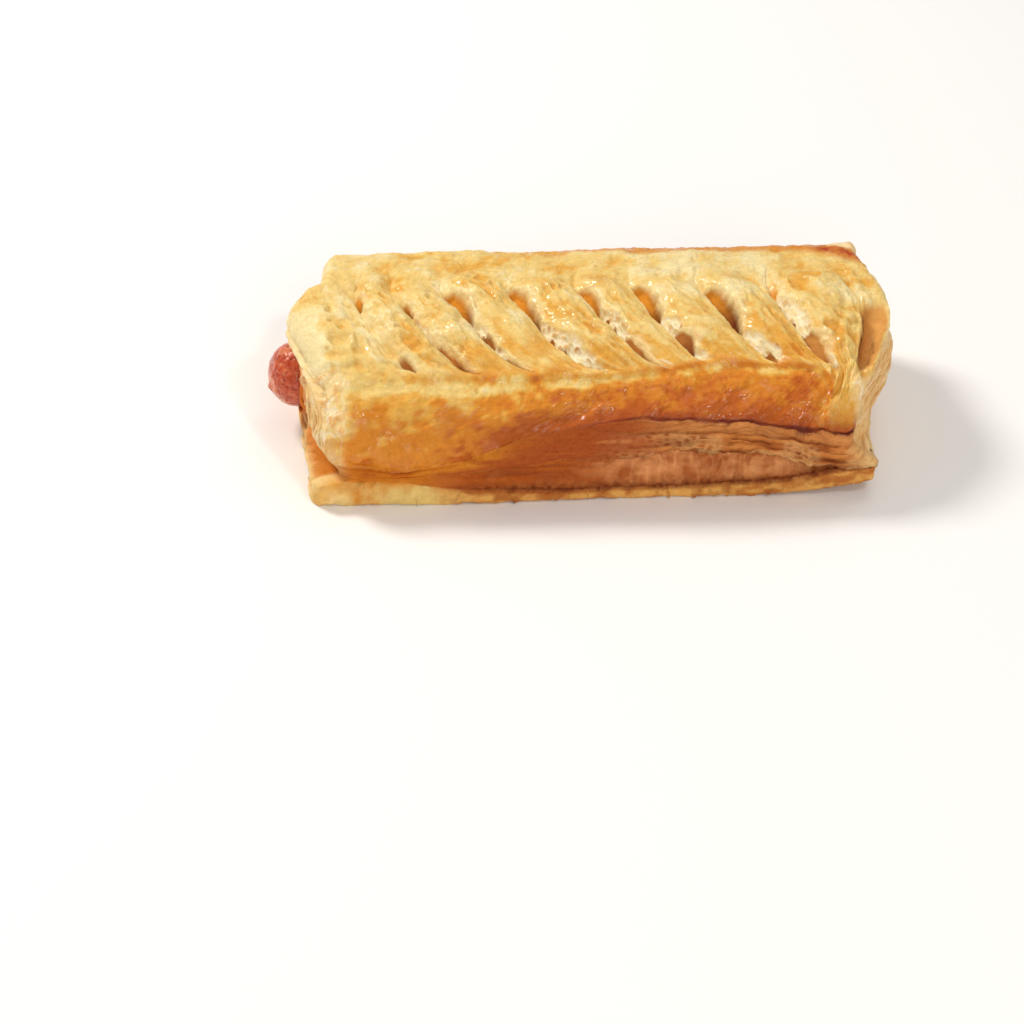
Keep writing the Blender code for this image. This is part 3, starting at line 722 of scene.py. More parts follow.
    # Band: gold under the crease, orange to rust below, darkest along its lower edge.
    mottle = 0.32 * patch + 0.40 * dimple + 0.30 * fbm(px / 2.6, pz / 2.0, 0, 2, 107) + 0.24 * freckle
    mottle = mottle + 0.22 * fbm(px / 5.0, pz / 0.8, 0, 2, 130)
    mottle = mottle * (1 - 0.4 * flank) - 0.12 * flank
    below = np.clip(-past / 3.4, 0, 1)
    band_brown = 0.42 + 0.30 * smooth(0.05, 0.55, below) + 0.30 * smooth(0.5, 1.0, below) + 0.22 * rightward + mottle
    band_brown = band_brown - 0.35 * roll - 0.10 * flank
    band_brown = band_brown + 0.35 * smooth(0.80, 1.0, below) * smooth(-50, -20, px) * (1 - smooth(2, 16, px))
    lower_rust = smooth(0.62, 1.0, below + 0.10 * level) * smooth(-52, -24, px) * (1 - smooth(-4, 20, px))
    cut_end = smooth(76.6, 79.4, px + 0.20 * (z - 25.0) + 0.7 * value_noise(pz / 1.8, 1, 1, 121)) * (T < 15.8) * smooth(15.8, 14.4, T)
    band_brown = band_brown - 1.2 * cut_end
    band_brown = band_brown - 1.0 * left_cut
    band_colour = blend(np.broadcast_to(CREAM, y.shape + (3,)), PALE, smooth(-0.45, -0.1, band_brown))
    band_colour = blend(band_colour, GOLD, smooth(-0.02, 0.36, band_brown))
    band_colour = blend(band_colour, ORANGE, smooth(0.34, 0.68, band_brown))
    band_colour = blend(band_colour, RUST, smooth(0.78, 1.30, band_brown))
    band_colour = blend(band_colour, srgb(178, 86, 30), lower_rust * 0.85)
    lace = smooth(0.35, 0.75, ridged(px / 1.5 + 0.5 * freckle, pz / 5.5, py / 3.0, 2, 110))
    band_colour = blend(band_colour, DOUGH, np.clip(left_cut + cut_end, 0, 1) * 0.55)
    band_colour = blend(band_colour, LIGHT_DOUGH, lace * np.clip(left_cut + cut_end, 0, 1) * 0.8)
    # Darker gold in the left end's wrinkle valleys: painted shade.
    band_colour = blend(band_colour, srgb(226, 158, 76), ruck * smooth(0.30, 0.10, wrinkle) * 0.75)
    colour = mix(colour, band_colour, band[..., None])
    foot = cut_end * (1 - band) * (T > 11.5)
    colour = blend(colour, DOUGH, foot)
    colour = blend(colour, LIGHT_DOUGH, foot * lace * 0.8)

    # The back's band is browned the same way: gold over its edge, orange to rust lower down.
    fall = np.clip((T - 21.0) / 3.2, 0, 1)
    back_tone = 0.34 + 0.75 * fall + 0.5 * patch + 0.45 * dimple + 0.25 * fbm(px / 2.6, pz / 2.0, 5.0, 2, 131) + 0.24 * freckle
    back_tone = back_tone - 0.9 * smooth(-78, -86, px) - 0.5 * smooth(80, 87, px)
    back_colour = blend(np.broadcast_to(PALE, y.shape + (3,)), GOLD, smooth(-0.1, 0.35, back_tone))
    back_colour = blend(back_colour, ORANGE, smooth(0.34, 0.78, back_tone))
    back_colour = blend(back_colour, RUST, smooth(0.85, 1.40, back_tone))
    back_colour = blend(back_colour, CARAMEL, smooth(23.55, 23.9, T + 0.12 * value_noise(px / 5.0, 9.0, 0, 132)) * 0.8)
    colour = mix(colour, back_colour, back_band[..., None])

    # Layers: tan plates, pale along their rims, with painted shade darkening the gaps and pits between them.
    tone = 0.5 + 0.5 * value_noise(px / 13.0, index * 2.1, facing, 111) + 0.35 * fbm(px / 4.0, pz / 1.5, 0, 2, 112)
    side_colour = blend(np.broadcast_to(TAN, y.shape + (3,)), BROWN, smooth(0.25, 0.95, tone) * 0.85)
    side_colour = blend(side_colour, srgb(220, 150, 84), top_plate * 0.65 * (1 - finer))
    striped = blend(np.broadcast_to(srgb(172, 82, 28), y.shape + (3,)), ORANGE, 0.9 * smooth(0.35, 1.0, share) * smooth(0, -45, px) + 0.7 * level)
    side_colour = mix(side_colour, striped, (np.maximum(1 - layered, 0.8 * finer) * (T < 16) * smooth(-0.2, 0.3, share) * 0.92)[..., None])
    side_colour = blend(side_colour, srgb(122, 56, 22), np.clip(0.95 * gap + 0.55 * thin_gap, 0, 1))
    side_colour = blend(side_colour, srgb(142, 74, 34), pits * 0.8)
    side_colour = blend(side_colour, srgb(234, 182, 120), np.clip(1 - bubble, 0, 1) * cell_zone * 0.5)
    torn_edge = np.exp(-(((share - 0.035) * tall / 0.45) ** 2)) * smooth(-20, 5, px)
    side_colour = blend(side_colour, srgb(226, 170, 108), torn_edge * 0.8)
    side_colour = blend(side_colour, DOUGH, smooth(74, 84, px) * 0.6)
    side_colour = blend(side_colour, blend(np.broadcast_to(ORANGE, y.shape + (3,)), RUST, 0.35 + 0.8 * patch), smooth(-44, -60, px) * (T < 16) * 0.85)
    side_colour = blend(side_colour, DOUGH, smooth(-76, -85, px + 2 * patch) * 0.85)
    flaky = np.maximum(flaky_f, flaky_b)
    colour = mix(colour, side_colour, flaky[..., None])
    # The recess's brown is lighter on its pleats' ridges and folds: partly painted highlight, partly random tone.
    pleat_highlight_tone = 0.12 + 0.70 * pleat + 0.70 * folds + 0.3 * fbm(px / 2.0, pz / 1.3, 0, 2, 55)
    recess_colour = blend(np.broadcast_to(srgb(176, 96, 48), y.shape + (3,)), srgb(234, 164, 106), pleat_highlight_tone)
    # Darker along the recess's top, under the layers' overhang: painted shade.
    recess_colour = blend(recess_colour, UMBER, smooth(0.85, 1.0, (T - 4.0) / 3.0) * 0.5 * (T < 8))
    recess_colour = blend(recess_colour, blend(np.broadcast_to(srgb(160, 74, 28), y.shape + (3,)), RUST, 0.5 + level), smooth(14, -16, px) * (T < 8) * 0.85)
    recess_colour = blend(recess_colour, ORANGE, smooth(-44, -62, px) * (T < 8) * 0.8)
    recess_colour = blend(recess_colour, DOUGH, smooth(-76, -85, px + 2 * patch) * (T < 8) * 0.6)
    colour = mix(colour, recess_colour, np.clip(recess, 0, 1)[..., None])
    base_tone = 0.5 + 0.8 * fbm(px / 4.4, pz / 2.2, py / 8.0, 3, 118) + 0.2 * crumb
    base_colour = blend(np.broadcast_to(srgb(186, 112, 52), y.shape + (3,)), srgb(230, 172, 92), smooth(0.1, 0.9, base_tone))
    # Darker in the base's notches: painted shade.
    base_colour = blend(base_colour, srgb(150, 82, 36), np.clip(notch, 0, 1) * 0.7)
    base_colour = blend(base_colour, UMBER, smooth(1.2, 0.4, T) * 0.35)
    # Darker orange on the base's top just under the top sheet: painted shade.
    base_colour = blend(base_colour, srgb(196, 108, 44), smooth(2.7, 3.6, T) * (T < 8) * smooth(24, -20, px) * 0.9)
    front_left = smooth(-38, -56, px) * (T < 16)
    base_colour = blend(base_colour, blend(np.broadcast_to(PALE, y.shape + (3,)), ORANGE, 0.20 + 1.5 * patch + 0.4 * blotch), front_left * 0.9)
    base_colour = blend(base_colour, blend(np.broadcast_to(DOUGH, y.shape + (3,)), GOLD, 0.2 + 1.2 * patch), smooth(-74, -85, px + 3 * patch) * 0.9)
    colour = mix(colour, base_colour, np.clip(base, 0, 1)[..., None])
    colour = blend(colour, srgb(186, 108, 52), np.clip(near_crack * 1.6, 0, 1) * 0.6 * (T < 16))
    colour = blend(colour, srgb(214, 142, 80), np.clip(near_crack * 2.2 * crumb, 0, 1) * 0.5)
    # Dark between the crumbs and along the cracks above the base: painted shade.
    colour = blend(colour, CREVICE_SHADE, np.clip(near_crack * (0.35 - 2.4 * crumb), 0, 1) * 0.8)
    colour = blend(colour, srgb(112, 50, 24), np.clip(crack, 0, 1) * 0.75 * np.where(T < 16, smooth(-52, -24, px), 1.0))

    colour = blend(colour, srgb(160, 66, 34), flaky_f * smooth(26, 4, px) * smooth(-40, -22, px) * np.clip(0.45 + 0.8 * level, 0, 0.7))

    # The caramel line along the band's lower edge, and the glow above it.
    along_edge = smooth(-16, 14, px) * (1 - smooth(77.5, 79.5, px)) * np.clip(0.86 + 0.35 * value_noise(px / 6.0, 0, 0, 109), 0, 1)
    heavy = smooth(16, 58, px)
    over_edge = z - ef
    reach = 0.74 + 0.34 * heavy - 0.30 * smooth(58, 78, px) + 0.24 * value_noise(px / 3.0, 0, 0, 114)
    line = smooth(11.42, 11.56, T) * (1 - smooth(reach - 0.25, reach + 0.30, over_edge)) * along_edge * (T < 17)
    glow = smooth(11.36, 11.50, T) * (1 - smooth(reach, reach + 2.6 + 0.8 * blotch, over_edge)) * along_edge * (T < 17)
    wide = smooth(11.36, 11.50, T) * (1 - smooth(reach, reach + 7.0, over_edge)) * smooth(10, 40, px) * (1 - smooth(77.5, 79.5, px)) * (T < 17)
    colour = blend(colour, RUST, wide * 0.6)
    colour = blend(colour, srgb(216, 146, 88), top_plate * flaky_f * smooth(4, 26, px) * 0.35)
    colour = blend(colour, srgb(160, 66, 22), glow * 0.85)
    # The layers' ragged lower edge shows pale, and a dark line just below it is painted shadow in the recess.
    ragged = T + 0.16 * value_noise(px / 2.0, 0, 0, 136)
    colour = blend(colour, srgb(118, 58, 28), np.exp(-(((ragged - 6.72) / 0.20) ** 2)) * smooth(4, 24, px) * 0.75)
    colour = blend(colour, srgb(236, 184, 124), np.exp(-(((ragged - 7.22) / 0.13) ** 2)) * smooth(4, 24, px) * 0.7)
    colour = blend(colour, CARAMEL, line)
    colour = blend(colour, DARK, line * (0.3 + 0.7 * heavy) * (1 - smooth(0.6, 1.3, over_edge)) * 0.6)
    back_line = smooth(32.0, 35.4, y + 0.9 * value_noise(px / 9.0, 0, 0, 133)) * smooth(-24, 4, px) * (T > 16) * (1 - smooth(21.6, 22.2, T))
    colour = blend(colour, ORANGE, back_line * 0.85)
    colour = blend(colour, RUST, back_line * smooth(37.0, 39.5, y) * 0.5)

    # Slashes: orange inside, with painted shade darkening them to brown further along, where the openings are deep;
    # pale cream on the torn faces.
    deep_shade = smooth(0.10, 0.50, along) + 0.25 * patch
    inside = blend(np.broadcast_to(INNER, y.shape + (3,)), srgb(128, 62, 26), deep_shade)
    inside = blend(inside, blend(np.broadcast_to(srgb(200, 130, 62), y.shape + (3,)), srgb(150, 84, 38), 0.5 + 1.2 * patch), smooth(0.52, 0.66, along) * 0.9)
    inside = blend(inside, srgb(204, 142, 74), smooth(48, 60, X) * smooth(0.5, 0.7, along) * 0.9)
    colour = mix(colour, inside, np.clip(cavity, 0, 1)[..., None])
    face = blend(np.broadcast_to(srgb(240, 220, 170), y.shape + (3,)), WHITE, strand_rim)
    # Darker in the webs' pits: painted shade.
    face = blend(face, srgb(206, 160, 98), web_pit * 0.75)
    face = blend(face, BROWN, web_pit * (w_own > 0.86) * 0.8)
    colour = mix(colour, face, (np.clip(torn * 1.2, 0, 1) * (1 - cavity) * 0.92)[..., None])
    # The right end's hollow: patchy brown inside, darker towards its left wall and its front as painted shade.
    bowl = blend(np.broadcast_to(srgb(160, 92, 40), y.shape + (3,)), srgb(222, 164, 90), smooth(-0.05, 0.8, hollow_e + 0.3 * patch + 0.25 * smooth(-14, 4, y)))
    colour = mix(colour, bowl, (hollow * smooth(16, 6, y))[..., None])

    # Back corner at the right end, caught by the oven: a scorched streak with a pale tip behind it.
    streak_y = 35.4 - (px - 76.0) * 0.55
    off_streak = py - streak_y
    burnt = ridged(px / 3.2, py / 1.5, 0, 2, 119)
    scorch = smooth(30, 35, pz) * (T > 15) * (1 - smooth(21.7, 22.5, T + 0.5 * value_noise(px / 2.0, 4.0, 0, 134)))
    colour = blend(colour, ORANGE, scorch * smooth(-7.5, -2.0, off_streak) * smooth(60, 74, px) * 0.85)
    colour = blend(colour, srgb(176, 62, 30), scorch * smooth(72, 78, px) * np.exp(-((off_streak / 2.9) ** 2)) * np.clip(0.45 + 0.9 * burnt, 0, 1))
    colour = blend(colour, blend(np.broadcast_to(srgb(248, 226, 178), y.shape + (3,)), GOLD, 0.15 + 0.9 * patch), scorch * smooth(2.4, 3.6, off_streak + 0.8 * fbm(px / 2.0, py / 2.0, pz / 2.0, 2, 135)) * smooth(77, 80, px) * smooth(33.6, 35.4, pz + 1.5 * patch) * 0.9)

    # The dough's inner rim shows orange beside the sausage.
    inner_rim = smooth(-85.9, -86.7, X + 0.35 * value_noise(pz / 2.6, py / 2.6, 0, 123)) * smooth(36, 33, pz) * smooth(-16, -11, py) * smooth(20, 14, py) * (T > 9) * (T < 28)
    colour = blend(colour, srgb(214, 112, 44), inner_rim * 0.95)
    beneath = smooth(-84.0, -87.0, px) * smooth(-26, -18, py + 2 * patch) * smooth(15, 11, pz) * smooth(2.5, 5.0, pz)
    colour = blend(colour, srgb(220, 138, 64), beneath * np.clip(0.65 + 0.9 * patch, 0, 0.9))

    patchy = 0.25 + 0.95 * smooth(-0.15, 0.35, fbm(px / 5.0, py / 5.0, pz / 5.0, 3, 120))
    gloss = np.clip(top + band + back_band, 0, 1) * (1 - torn) * (1 - cavity) * (1 - 0.9 * hollow) * patchy
    gloss = gloss * (1 - 0.7 * np.clip(left_cut + cut_end, 0, 1)) * (1 - 0.8 * line)
    cut = np.clip(flaky + base + torn + cavity + hollow + np.clip(recess, 0, 1), 0, 1)
    return p, colour, gloss, cut, x, t


def build_caps(p, colour, gloss, cut):
    """Closes the case's two ends: the left one round the sausage, the right one whole."""
    parts_p, parts_c, parts_g, parts_k, faces = [], [], [], [], []
    nr, nc = p.shape[:2]
    offset = nr * nc
    for side_of in (0, 1):
        ring = p[:, 0] if side_of == 0 else p[:, -1]
        ring_colour = colour[:, 0] if side_of == 0 else colour[:, -1]
        if side_of == 0:
            a = np.arctan2(ring[:, 2] - SAUSAGE_Z, ring[:, 1] - SAUSAGE_Y)
            hole_r = SAUSAGE_R + 0.7 + 0.5 * value_noise(np.cos(a) * 2, np.sin(a) * 2, 0, 201)
            target = np.stack([SAUSAGE_Y + hole_r * np.cos(a), SAUSAGE_Z + hole_r * np.sin(a)], -1)
            steps = 90
        else:
            target = np.stack([np.full(nr, 3.0), np.full(nr, 17.0)], -1)
            steps = 90
        share = (np.arange(1, steps + 1) / steps) ** 1.05
        y = ring[:, 1][:, None] + (target[:, 0] - ring[:, 1])[:, None] * share
        z = ring[:, 2][:, None] + (target[:, 1] - ring[:, 2])[:, None] * share
        end = left_end if side_of == 0 else right_end
        base_x = end(y, z)
        base_x = mix(ring[:, 0][:, None], base_x, smooth(0.0, 0.12, share))
        out = -1.0 if side_of == 0 else 1.0
        # Layers follow the top sheet over the filling and the bottom sheet under it.
        seam = 12.0 + 0.05 * y
        roof = 42.5 - 0.0032 * (y - 12.0) ** 2
        upper = z > seam
        over = share * 13.0 + 0 * y if side_of == 0 else (roof - z) / np.maximum(roof - seam, 2.0) * 19.0
        depth = np.where(upper, over, 30.0 + (z / seam) * 6.0)
        warp = 1.2 * fbm(y / 9.0, z / 7.0, 0.5 + side_of, 3, 205) + 0.35 * fbm(y / 2.4, z / 2.4, side_of, 2, 206)
        lay = depth + warp
        index = np.floor(lay)
        f = lay - index
        stick = 0.9 * value_noise(y / 8.0, z / 8.0 * (side_of == 0) + index * 4.7, side_of, 207) + 0.3 * value_noise(y / 2.6, z / 2.6 * (side_of == 0) + index * 4.7, side_of, 208)
        body = 1 - np.abs(2 * f - 1) ** 3
        gap = smooth(-0.2, 0.5, value_noise(y / 6.0, index * 2.9, side_of, 209))
        disp = stick + (body - 1) * (0.4 + 0.8 * gap)
        if side_of == 0:
            hug = smooth(1.0, 0.86, share)
            disp = disp * (0.35 + 0.65 * hug)
            # The top sheet curls in over the sausage, and the seam beside it gapes.
            gape = np.exp(-(((z - seam + 0.6) / 2.0) ** 2)) * smooth(-4, -12, y)
            disp = disp - 4.2 * gape
            collar = smooth(0.84, 0.94, share + 0.03 * value_noise(z / 2.4, y / 2.4, 0, 216))
            disp = disp + 1.25 * collar
        disp = disp * smooth(0.0, 0.05, share)
        xx = base_x + out * disp
        q = np.stack([xx, y, np.maximum(z, 0)], -1)
        # Raised layers are painted lighter as highlight and grooves painted darker as shade.
        groove_shade = np.clip(-disp / 1.6, 0, 1)
        c = np.broadcast_to(DOUGH, q.shape).copy()
        c = blend(c, LIGHT_DOUGH, np.clip(disp, 0, 1) * 0.7)
        c = blend(c, srgb(222, 150, 76), groove_shade * 0.9 + 0.25 * value_noise(y / 5.0, z / 4.0, 3.3, 211))
        c = blend(c, RUST, groove_shade**2 * 0.6)
        if side_of == 0:
            near_hole = smooth(0.82, 0.93, share + 0.05 * value_noise(z / 2.0, y / 2.0, 0, 215))
            c = blend(c, srgb(222, 122, 48), near_hole)
            c = blend(c, srgb(188, 74, 32), smooth(0.95, 1.0, share) * 0.8 + 0 * y)
            c = blend(c, ORANGE, np.clip(1.3 * gape, 0, 1))
            c = blend(c, RUST, np.clip(gape * 1.2 - 0.5, 0, 1))
            low_side = smooth(-24, -16, y) * smooth(13, 9, z) * smooth(2, 5, z)
            c = blend(c, srgb(220, 138, 64), low_side * np.clip(0.65 + 0.5 * value_noise(y / 4.0, z / 2.5, 2.1, 218), 0, 0.9))
            speck = cells(y / 1.6, z / 1.6, 0, 214)
            c = blend(c, srgb(112, 34, 16), smooth(0.42, 0.22, speck[0]) * (speck[2] > 0.80) * smooth(0.78, 0.88, share) * 0.9)
        else:
            c = blend(c, TAN, 0.22 + 0 * y)
        edge = smooth(0.10, 0.0, share) + 0 * y
        c = mix(c, np.broadcast_to(ring_colour[:, None], c.shape), edge[..., None])
        cols = steps
        if side_of == 0:
            # The hole runs in along the sausage, painted darker deeper in as shade.
            inward = np.arange(1, 11) * 1.4
            yy = np.broadcast_to(y[:, -1:], (nr, 10))
            zz = np.broadcast_to(z[:, -1:], (nr, 10))
            tube = np.stack([xx[:, -1:] + inward, SAUSAGE_Y + (yy - SAUSAGE_Y) * (1 - 0.004 * inward), SAUSAGE_Z + (zz - SAUSAGE_Z) * (1 - 0.004 * inward)], -1)
            q = np.concatenate([q, tube], 1)
            dark = blend(np.broadcast_to(ORANGE, tube.shape), UMBER, smooth(0, 6, inward) + 0 * yy)
            c = np.concatenate([c, dark], 1)
            cols = steps + 10
        start = offset
        index_grid = np.arange(nr * cols).reshape(nr, cols) + start
        first = np.arange(nr) * nc + (0 if side_of == 0 else nc - 1)
        full = np.concatenate([first[:, None], index_grid], 1)
        nxt = np.roll(full, -1, 0)
        quads = np.stack([full[:, :-1], full[:, 1:], nxt[:, 1:], nxt[:, :-1]], -1).reshape(-1, 4)
        faces.append(quads[:, ::-1] if side_of == 0 else quads)
        parts_p.append(q.reshape(-1, 3))
        parts_c.append(c.reshape(-1, 3))
        parts_g.append(np.zeros(nr * cols))
        parts_k.append(np.ones(nr * cols))
        offset += nr * cols
    return parts_p, parts_c, parts_g, parts_k, faces


def case_piece():
    p, colour, gloss, cut, x, t = build_case()
    nr, nc = p.shape[:2]
    pp, cc, gg, kk, ff = build_caps(p, colour, gloss, cut)
    points = np.concatenate([p.reshape(-1, 3)] + pp)
    tint = np.concatenate([colour.reshape(-1, 3)] + cc)
    glossy = np.concatenate([gloss.ravel()] + gg)
    cuts = np.concatenate([cut.ravel()] + kk)
    faces = np.concatenate([grid_faces(nr, nc)] + ff)
    piece = make_mesh("pastry_case", points, faces, tint, {"gloss": glossy, "cut": cuts})
    return piece


# ---- the sausage ---------------------------------------------------------------------
def sausage_piece():
    sides = 220
    length = SAUSAGE_END_X - SAUSAGE_TIP_X
    # Distance from the tip, crowded where it shows.
    s = np.concatenate([np.linspace(0, 1, 60) ** 1.6 * 9.0, 9.0 + np.arange(1, 60) * 0.3, np.linspace(27.5, length - 12, 40), length - 12 + np.sin(np.linspace(0, 1, 16)[1:] * math.pi / 2) * 12])
    cap = 10.2
    a = np.linspace(0, 2 * math.pi, sides, endpoint=False)
    r = np.where(s < cap, SAUSAGE_R * (1 - (1 - np.clip(s / cap, 0, 1)) ** 2.5) ** 0.52, SAUSAGE_R)
    from_end = length - s
    r = np.where(from_end < 10, SAUSAGE_R * np.sqrt(np.maximum(0, 1 - (1 - from_end / 10) ** 2)), r)
    S, A = np.meshgrid(s, a, indexing="ij")
    R = np.broadcast_to(r[:, None], S.shape).copy()
    pucker = np.exp(-(S / 3.4) ** 1.2)
    folds = 0.22 * np.sin(A * 11 + 2.2 * fbm(np.cos(A) * 2, np.sin(A) * 2, 0, 2, 301)) * pucker * smooth(0.0, 2.0, S)
    # Places across the sausage, so that no pattern converges on the tip.
    cy, cz = R * np.cos(A), R * np.sin(A)
    lumps = 0.30 * fbm(S / 5.0, cy / 4.7, cz / 4.7, 3, 303)
    creases = -0.34 * np.clip(ridged(S / 4.2, cy / 3.0, cz / 3.0, 2, 305) - 0.55, 0, 1) * 2
    grain = 0.05 * fbm(S / 0.8, cy / 0.85, cz / 0.85, 2, 307)
    grow = (folds + lumps + creases + grain) * smooth(0.0, 1.2, S)
    R = np.minimum(R + grow - 0.05, SAUSAGE_R + 0.3) * (R > 0.01)
    R = np.maximum(R, 0.0)
    bend = 0.9 * (S / 14.0) ** 2 * (S < 14) * 0
    X = SAUSAGE_TIP_X + S - 0.5 * pucker * fbm(np.cos(A) * 2, np.sin(A) * 2, S, 2, 309) * smooth(0, 1, S)
    p = np.stack([X, SAUSAGE_Y + R * np.cos(A) + bend, SAUSAGE_Z + R * np.sin(A)], -1)
    # The twisted knot of skin, low on the tip.
    knot = np.exp(-(((p[..., 1] - SAUSAGE_Y + 3.2) / 1.3) ** 2 + ((p[..., 2] - SAUSAGE_Z + 2.6) / 1.2) ** 2)) * (S < 6)
    p[..., 0] -= 0.8 * knot
    red = srgb(204, 84, 46)
    dark = srgb(166, 50, 26)
    pink = srgb(228, 142, 98)
    n1 = fbm(S / 4.0, cy / 4.7, cz / 4.7, 4, 311)
    c = blend(np.broadcast_to(red, p.shape), dark, smooth(0.0, 0.6, n1) * 0.55)
    c = blend(c, pink, smooth(-0.05, 0.45, -n1) * 0.75)
    streak = ridged(cy / 2.1, cz / 2.1, S / 9.0, 2, 313)
    c = blend(c, pink, np.clip(streak - 0.6, 0, 1) * 0.8)
    # Darker in the skin's creases: painted shade.
    c = blend(c, dark, np.clip(-creases / 0.2, 0, 1) * 0.7)
    c = blend(c, srgb(206, 112, 66), knot * 0.7)
    casing = ridged(cy / 4.0 + S / 14.0, cz / 4.0, S / 6.0, 2, 315)
    c = blend(c, srgb(232, 160, 108), smooth(0.70, 0.93, casing) * 0.6)
    # A faint net of pale lines over the skin: painted highlight.
    net_highlight = cells(S / 3.0 + 0.3 * n1, cy / 2.45, cz / 2.45, 317)
    c = blend(c, srgb(228, 158, 128), smooth(0.16, 0.03, net_highlight[1] - net_highlight[0]) * 0.16)
    rows, cols = S.shape
    points = p.reshape(-1, 3)
    idx = np.arange(rows * cols).reshape(rows, cols)
    nxt = np.roll(idx, -1, 1)
    faces = np.stack([idx[:-1], nxt[:-1], nxt[1:], idx[1:]], -1).reshape(-1, 4)
    # One point closes each end.
    piece = make_mesh("sausage_body", points, faces, c.reshape(-1, 3), {"gloss": np.ones(len(points)), "cut": np.zeros(len(points))})
    return piece


# ---- materials -----------------------------------------------------------------------
def pastry_material():
    m = bpy.data.materials.new("baked_crust")
    m.use_nodes = True
    nt = m.node_tree
    nodes, links = nt.nodes, nt.links
    shader = nodes["Principled BSDF"]
    shader.inputs["IOR"].default_value = 1.45
    shader.inputs["Specular IOR Level"].default_value = 0.25
    shader.inputs["Specular Tint"].default_value = (1.0, 0.80, 0.52, 1.0)
    shader.inputs["Coat Tint"].default_value = (1.0, 0.94, 0.80, 1.0)
    shader.inputs["Coat Roughness"].default_value = 0.13
    shader.inputs["Subsurface Weight"].default_value = 0.20
    shader.inputs["Subsurface Radius"].default_value = (1.0, 0.48, 0.15)
    shader.inputs["Subsurface Scale"].default_value = 0.0022
    shader.inputs["Coat IOR"].default_value = 1.5

    tint = nodes.new("ShaderNodeAttribute"); tint.attribute_name = "tint"
    gloss = nodes.new("ShaderNodeAttribute"); gloss.attribute_name = "gloss"
    cut = nodes.new("ShaderNodeAttribute"); cut.attribute_name = "cut"
    coord = nodes.new("ShaderNodeTexCoord")

    def noise(scale, detail=4.0, rough=0.6, distortion=0.0):
        node = nodes.new("ShaderNodeTexNoise")
        node.inputs["Scale"].default_value = scale
        node.inputs["Detail"].default_value = detail
        node.inputs["Roughness"].default_value = rough
        node.inputs["Distortion"].default_value = distortion
        links.new(coord.outputs["Object"], node.inputs["Vector"])
        return node

    def ramp(source, *stops):
        node = nodes.new("ShaderNodeValToRGB")
        e = node.color_ramp.elements
        e[0].position, e[0].color = stops[0][0], (*stops[0][1], 1)
        e[1].position, e[1].color = stops[-1][0], (*stops[-1][1], 1)
        for pos, col in stops[1:-1]:
            q = e.new(pos)
            q.color = (*col, 1)
        links.new(source, node.inputs["Fac"])
        return node

    def mixed(kind, fac, a, b):
        node = nodes.new("ShaderNodeMix")
        node.data_type = "RGBA"
        node.blend_type = kind
        if isinstance(fac, float):
            node.inputs["Factor"].default_value = fac
        else:
            links.new(fac, node.inputs["Factor"])
        links.new(a, node.inputs["A"])
        links.new(b, node.inputs["B"])
        return node.outputs["Result"]

    def maths(kind, a, b):
        node = nodes.new("ShaderNodeMath")
        node.operation = kind
        for i, v in enumerate((a, b)):
            if isinstance(v, (int, float)):
                node.inputs[i].default_value = v
            else:
                links.new(v, node.inputs[i])
        return node.outputs[0]

    mottled = ramp(noise(420.0, 5.0, 0.65).outputs["Fac"], (0.30, (0.84, 0.76, 0.66)), (0.5, (1.0, 1.0, 1.0)), (0.72, (1.07, 1.10, 1.16)))
    fine = ramp(noise(1500.0, 3.0, 0.6).outputs["Fac"], (0.32, (0.88, 0.84, 0.78)), (0.55, (1.0, 1.0, 1.0)), (0.75, (1.08, 1.10, 1.14)))
    colour = mixed("MULTIPLY", 0.6, tint.outputs["Color"], mottled.outputs["Color"])
    colour = mixed("MULTIPLY", 0.5, colour, fine.outputs["Color"])
    links.new(colour, shader.inputs["Base Color"])

    rough_noise = noise(700.0, 4.0, 0.6)
    rough = maths("MULTIPLY_ADD", rough_noise.outputs["Fac"], 0.35)
    rough.node.inputs[2].default_value = 0.34
    rough = maths("ADD", rough, maths("MULTIPLY", cut.outputs["Fac"], 0.30))
    links.new(rough, shader.inputs["Roughness"])
    links.new(maths("MULTIPLY", gloss.outputs["Fac"], 0.5), shader.inputs["Coat Weight"])

    bump_fine = nodes.new("ShaderNodeBump")
    bump_fine.inputs["Strength"].default_value = 0.55
    bump_fine.inputs["Distance"].default_value = 0.00045
    links.new(noise(1300.0, 5.0, 0.65, 0.4).outputs["Fac"], bump_fine.inputs["Height"])
    bump_mid = nodes.new("ShaderNodeBump")
    bump_mid.inputs["Strength"].default_value = 0.6
    bump_mid.inputs["Distance"].default_value = 0.0009
    links.new(noise(430.0, 4.0, 0.6, 0.6).outputs["Fac"], bump_mid.inputs["Height"])
    links.new(bump_mid.outputs["Normal"], bump_fine.inputs["Normal"])
    links.new(bump_fine.outputs["Normal"], shader.inputs["Normal"])
    return m


